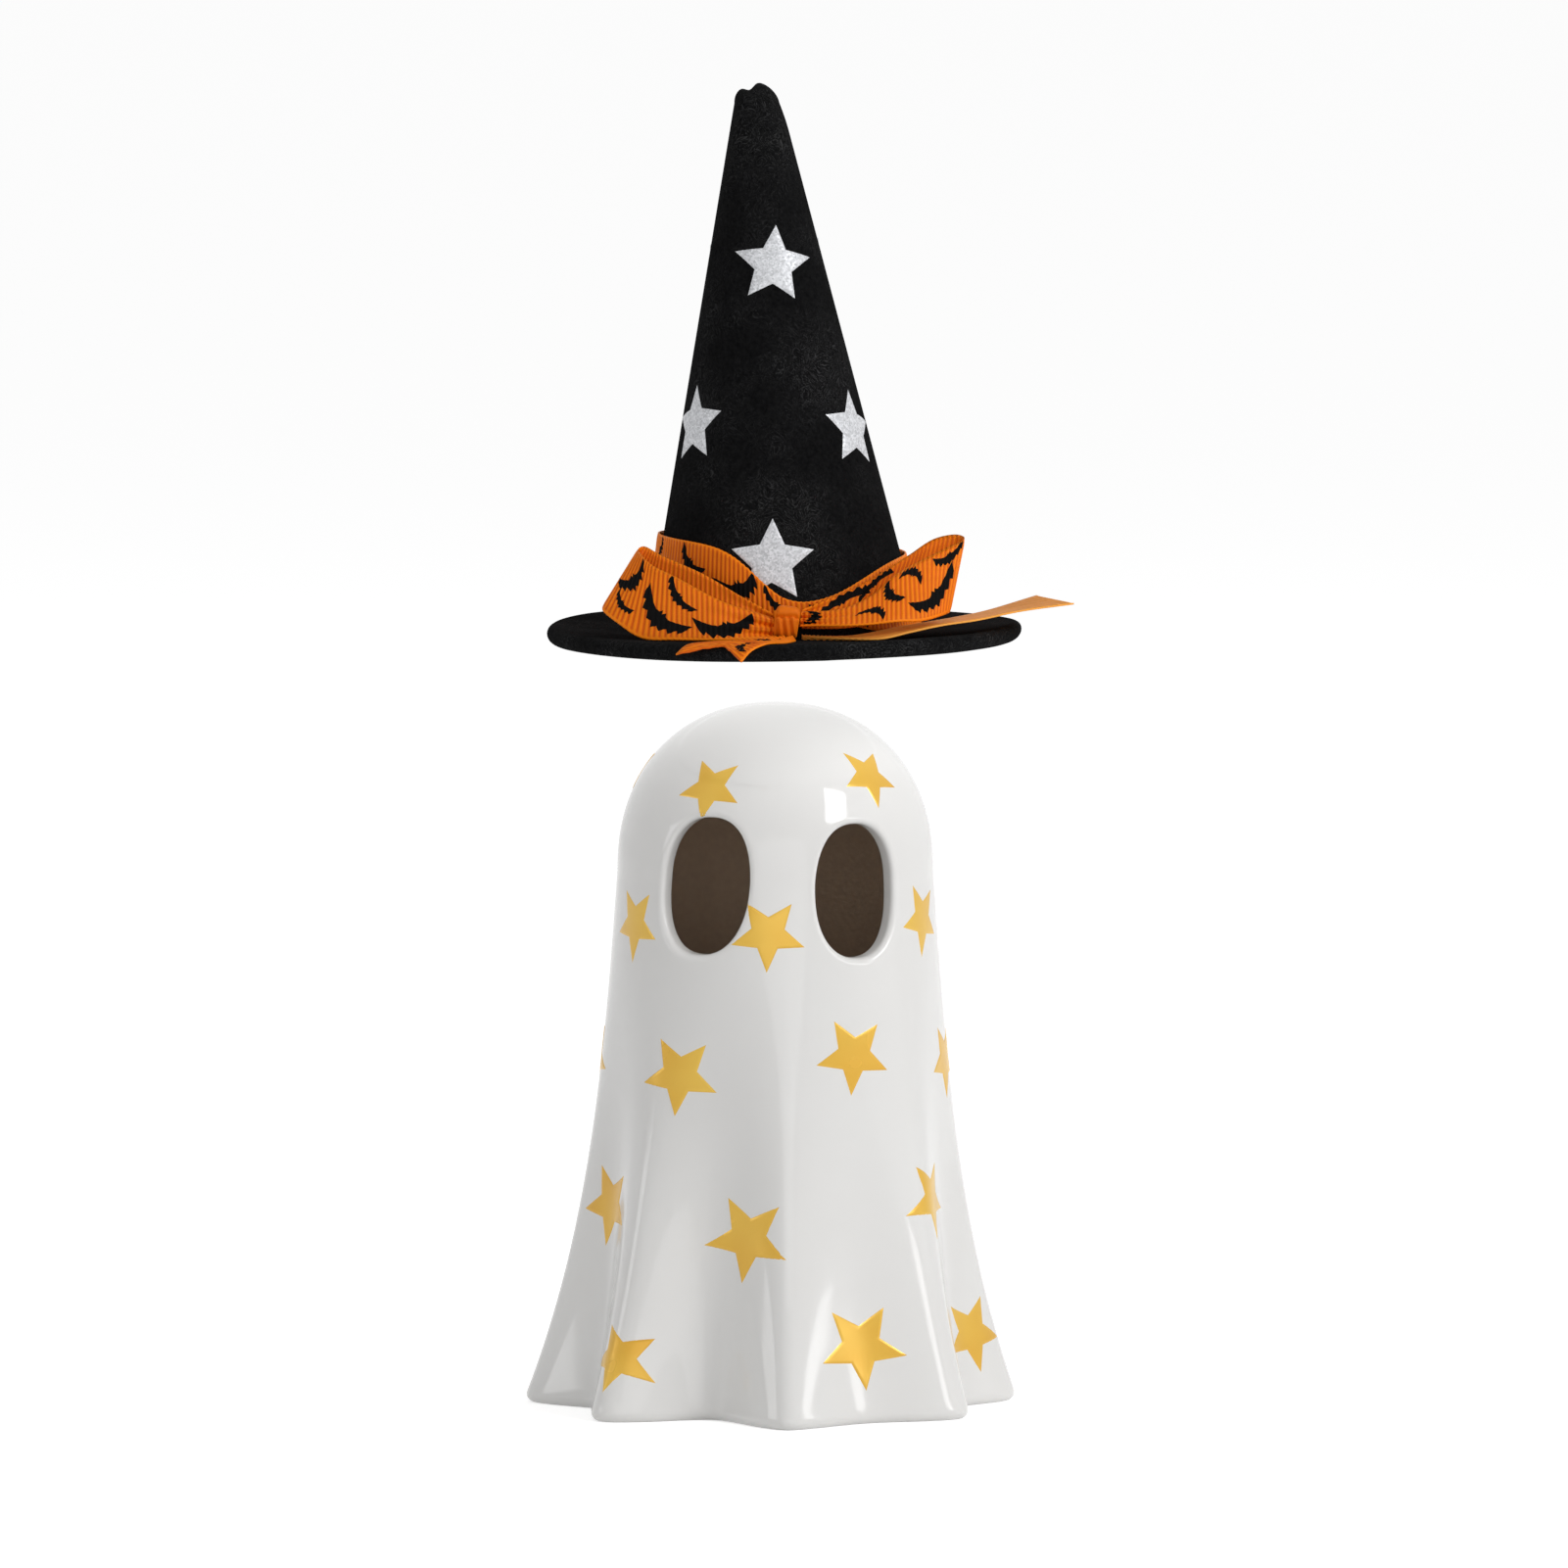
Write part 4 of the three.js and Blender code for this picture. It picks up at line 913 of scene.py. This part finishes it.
def buildKnot():
    bm = bmesh.new()
    weave = bm.loops.layers.uv.new("ribbonWeave")
    bmesh.ops.create_grid(bm, x_segments=84, y_segments=36, size=0.5)
    spots = {vert: (vert.co.x + 0.5, vert.co.y) for vert in bm.verts}
    # One place on the ribs all round, so that the knot has no stripes: its colour lies about halfway
    # between the ribs' painted highlight and painted groove shade
    for face in bm.faces:
        for loop in face.loops:
            loop[weave].uv = (knot["shade"], spots[loop.vert][1] + 0.5)
    for vert, (share, across) in spots.items():
        angle = 2 * pi * share
        barrel = sqrt(max(0.02, 1 - (1.8 * across) ** 6))
        front, top = (copysign(abs(wave) ** 0.8, wave) for wave in (cos(angle), sin(angle)))
        reach = Vector((0, front * knot["depth"] / 2, top * knot["height"] / 2))
        above = reach.z - knot["crease"] - 0.3 * sin(5 * across)
        pleated = 1 / (1 + exp(3 * above))
        pleat = knot["pleatDepth"] * pleated * cos(
            2 * pi * (knot["pleats"] * across + knot["slant"] * reach.z / knot["height"]))
        crease = knot["creaseDepth"] * exp(-(above / 0.4) ** 2) * (reach.y < 0)
        reach += reach.normalized() * (pleat - crease)
        vert.co = Vector((across * knot["width"], 0, 0)) + reach * barrel
    bmesh.ops.remove_doubles(bm, verts=bm.verts, dist=0.01)
    bmesh.ops.rotate(bm, verts=bm.verts, cent=(0, 0, 0),
                     matrix=Matrix.Rotation(radians(knot["tilt"]), 3, "Y"))
    bmesh.ops.translate(bm, verts=bm.verts, vec=(
        knot["side"], -knot["forward"], knot["lift"] + knot["height"] / 2))
    bmesh.ops.holes_fill(bm, edges=[edge for edge in bm.edges if edge.is_boundary])
    bmesh.ops.recalc_face_normals(bm, faces=bm.faces)
    return bm


makePiece(buildKnot(), "bow_knot_wrap", bowBase, "hat", ["ribbon"], ["bow_knot"])


# Bat print: flat silhouettes sliced like the ribbon's own mesh, so that they follow it
batHalf = [(0, 0.07), (0.035, 0.14), (0.07, 0.08), (0.14, 0.07), (0.24, 0.11), (0.36, 0.18), (0.5, 0.28),
           (0.46, 0.08), (0.41, -0.03), (0.36, 0.02), (0.29, -0.13), (0.21, -0.07), (0.14, -0.18),
           (0.06, -0.14), (0, -0.23)]
# Along and across the strip in millimetres, span, turn, and 1 outside or -1 inside
bats = {
    "bow_loop_left": [
        (33.5, 10, 10.5, -50, 1), (34.1, 4, 6, 20, 1), (25, 5, 13, 39, 1), (20.9, 11, 8.3, 47, 1),
        (9.8, 5, 14.2, -22, 1), (47, 10, 9, 20, 1), (58, 6, 12, -30, 1), (68, 11, 8, 10, 1),
    ],
    "bow_loop_right": [
        (2.6, 8, 10, 80, 1), (69.5, 12, 12, 160, -1), (62.5, 13.2, 8, 150, -1), (20, 10.5, 7.5, -60, 1),
        (16, 6.5, 7.5, 150, 1), (25.7, 13.6, 6.5, 148, 1), (31.8, 5.2, 13.5, 28, 1), (35, 13.5, 8, 12, 1),
        (47, 6, 9, 20, 1), (58, 10, 12, -30, 1),
    ],
    "bow_tail_right": [(15, 5, 8, 30, -1), (27, 11, 6, -20, -1), (44, 5, 7, 10, -1)],
    "bow_tail_left": [(8, 6, 9, -40, 1), (18.5, 12.5, 6, 20, 1)],
    "hat_band": [
        (139.5, 13, 6, 60, 1), (152.8, 11.5, 8.6, -35, 1), (166.5, 10, 12.5, 32, 1), (175.5, 11, 8, -25, 1),
        (10, 9, 10, -10, 1),
    ],
}
bandScatter = {"first": 16, "last": 130, "count": 12, "rows": (4.5, 11, 7.5), "spans": (12, 7), "seed": 7}


def batOutline(bm, along, across, span, turn, crowding):
    cosine, sine = cos(radians(turn)), sin(radians(turn))
    points = batHalf + [(-x, y) for x, y in reversed(batHalf[1:-1])]
    bm.faces.new([bm.verts.new((along + span * (x * cosine - y * sine),
                                across + crowding * span * (x * sine + y * cosine), 0))
                  for x, y in points])


def sliceAt(bm, place, direction, clear=False):
    geometry = bm.verts[:] + bm.edges[:] + bm.faces[:]
    bmesh.ops.bisect_plane(bm, geom=geometry, plane_co=place, plane_no=direction, clear_outer=clear)


# Where the ribbon is gathered the bat keeps its size, and the edges cut it off
def addBat(whole, strip, along, across, span, turn, side):
    bm = bmesh.new()
    share = strip.shareAt(along)
    crowding = min(1.5, ribbon["width"] / (strip.high(share) - strip.low(share)).length)
    batOutline(bm, along, across, span, turn, crowding)
    bmesh.ops.triangulate(bm, faces=bm.faces)
    for edge, direction in ((0.3, (0, -1, 0)), (ribbon["width"] - 0.3, (0, 1, 0))):
        sliceAt(bm, (0, edge, 0), direction, clear=True)
    if not strip.closed:
        for place in (0.4, strip.length - 0.4):
            sliceAt(bm, (place, 0, 0), (copysign(1, place - along), 0, 0), clear=True)
    for index in range(1, ribbon["columns"]):
        sliceAt(bm, (0, index * ribbon["width"] / ribbon["columns"], 0), (0, 1, 0))
    step = strip.length / strip.rows
    for index in range(floor((along - 0.6 * span) / step), ceil((along + 0.6 * span) / step)):
        sliceAt(bm, (index * step, 0, 0), (1, 0, 0))
    bmesh.ops.dissolve_degenerate(bm, edges=bm.edges, dist=0.005)
    for vert in bm.verts:
        spot = Vector((vert.co.x, vert.co.y / ribbon["width"]))
        outward = strip.normal(*spot) * side
        start = strip.flat(*spot) + outward * 1.4
        place = strip.tree.ray_cast(start, -outward, 3)[0] or start - outward * 1.4
        vert.co = place + outward * ribbon["printLift"]
    addTo(whole, bm)


def buildPrint():
    whole = bmesh.new()
    for stripName, spots in bats.items():
        for spot in spots:
            addBat(whole, strips[stripName], *spot)
    rows, spans = bandScatter["rows"], bandScatter["spans"]
    random.seed(bandScatter["seed"])
    for index, along in enumerate(steps(bandScatter["first"], bandScatter["last"], bandScatter["count"])):
        addBat(whole, strips["hat_band"], along, rows[index % len(rows)], spans[index % len(spans)],
               random.uniform(-60, 60), 1)
    return whole


makePiece(buildPrint(), "bat_print", bowBase, "hat", ["print"])
print("ribbon printed")


# The light unit keeps its CAD forms and gets its finishes
nodeFinishes = {
    "whitePlastic": ["unit_housing", "unit_cover", "battery_door"],
    "frosted": ["diffuser_dome", "led"],
    "rubber": ["grip_ring"],
    "steel": ["contact_spring", "spring_plate", "contact_plate", "door_screw", "cover_screw_1",
              "cover_screw_2", "switch_frame"],
    "cellSteel": ["cell_1", "cell_2", "cell_3"],
    "board": ["circuit_board"],
    "blackPlastic": ["switch_knob", "switch_lead_2"],
    "redPlastic": ["switch_lead_1"],
}
softEdges = {"unit_housing": 0.25, "unit_cover": 0.3, "battery_door": 0.15, "switch_knob": 0.12}
for finishName, nodeNames in nodeFinishes.items():
    for nodeName in nodeNames:
        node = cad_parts[nodeName]
        node.data.materials.clear()
        node.data.materials.append(materials[finishName])
        node.data.shade_smooth()
        node.data.set_sharp_from_angle(angle=radians(38))
for nodeName, width in softEdges.items():
    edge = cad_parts[nodeName].modifiers.new("soft_edge", "BEVEL")
    edge.width = width * mm
    edge.segments = 2
    edge.limit_method = "ANGLE"
    edge.angle_limit = radians(50)
    edge.harden_normals = True
print("light unit finished")


# Pale floor that is clear from below, white background and soft lamps
studio = {
    "floorSize": 12, "floorWhite": 0.9, "floorLift": 0.55, "ambient": 0.465,
    "lamps": [              # azimuth, elevation, distance, width, height, roll and radiance
        (53.5, 34, 1.4, 0.38, 0.58, -26, 9.6),
        (62.5, 14, 1.4, 0.17, 0.42, 24, 4.5),
        (-78, 10, 1.6, 0.54, 0.36, 0, 2.2),
        (5, 3, 1.6, 1.0, 0.8, 0, 0.95),
        (75, 15, 1.6, 1.0, 1.0, 0, 0.36),
        (165, 50, 1.8, 1.0, 1.0, 0, 1),
    ],
    "crownGap": 0.2, "crownInset": 3, "crownRadiance": 1,  # soft disc under the hat, against its shade
}


def whiteForViewer(tree):
    path = tree.nodes.new("ShaderNodeLightPath").outputs
    return maths(tree, "MAXIMUM", maths(tree, "MAXIMUM", path["Is Camera Ray"], path["Is Glossy Ray"]),
                 path["Is Transmission Ray"])


def emptyTree(owner):
    owner.use_nodes = True
    owner.node_tree.nodes.clear()
    return owner.node_tree


def makeFloor():
    bm = bmesh.new()
    bmesh.ops.create_grid(bm, x_segments=4, y_segments=4, size=studio["floorSize"])
    mesh = bpy.data.meshes.new("floor")
    bm.to_mesh(mesh)
    bm.free()
    addToScene("floor", mesh)
    material = bpy.data.materials.new("pale_floor")
    tree = emptyTree(material)
    white = studio["floorWhite"]
    diffuse = addNode(tree, "ShaderNodeBsdfDiffuse", {"Color": (white, white, white, 1)})
    lift = maths(tree, "MULTIPLY", whiteForViewer(tree), studio["floorLift"])
    glow = addNode(tree, "ShaderNodeEmission", {"Strength": lift})
    both = addNode(tree, "ShaderNodeAddShader", {0: diffuse.outputs[0], 1: glow.outputs[0]})
    behind = tree.nodes.new("ShaderNodeNewGeometry").outputs["Backfacing"]
    clear = addNode(tree, "ShaderNodeBsdfTransparent")
    oneSided = addNode(tree, "ShaderNodeMixShader", {0: behind, 1: both.outputs[0], 2: clear.outputs[0]})
    addNode(tree, "ShaderNodeOutputMaterial", {"Surface": oneSided.outputs[0]})
    mesh.materials.append(material)


def makeWorld():
    world = bpy.data.worlds.new("studio")
    bpy.context.scene.world = world
    tree = emptyTree(world)
    level = remap(tree, whiteForViewer(tree), low=studio["ambient"])
    sky = addNode(tree, "ShaderNodeBackground", {"Color": (1, 1, 1, 1), "Strength": level})
    addNode(tree, "ShaderNodeOutputWorld", {"Surface": sky.outputs[0]})


def makeCrownLamp():
    data = bpy.data.lights.new("under_hat", "AREA")
    data.shape = "DISK"
    radius = (hat["brimRadius"] - studio["crownInset"]) * mm
    data.size = 2 * radius
    data.energy = studio["crownRadiance"] * pi * pi * radius ** 2
    lamp = addToScene("under_hat", data)
    lamp.location = hatBase - Vector((0, 0, studio["crownGap"] * mm))
    lamp.visible_camera = False
    lit = bpy.data.collections.new("lit_under_hat")
    for name in ("ghost_body", "gold_stars"):
        lit.objects.link(bpy.data.objects[name])
    lamp.light_linking.receiver_collection = lit


def makeLamps():
    middle = ghostBase + Vector((0, 0, 0.12))
    for index, (azimuth, elevation, distance, width, height, roll, radiance) in enumerate(studio["lamps"]):
        data = bpy.data.lights.new(f"softbox_{index + 1}", "AREA")
        data.shape = "RECTANGLE"
        data.size = width
        data.size_y = height
        data.energy = radiance * pi * width * height
        lamp = addToScene(data.name, data)
        lamp.visible_camera = False
        turn, rise = radians(azimuth), radians(elevation)
        away = Vector((sin(turn) * cos(rise), -cos(turn) * cos(rise), sin(rise)))
        lamp.location = middle + away * distance
        facing = away.to_track_quat("Z", "Y").to_matrix()
        lamp.rotation_euler = (Matrix.Rotation(radians(roll), 3, away) @ facing).to_euler()


makeFloor()
makeWorld()
makeLamps()
makeCrownLamp()
bpy.context.scene.view_settings.view_transform = "Standard"
print("studio lit")
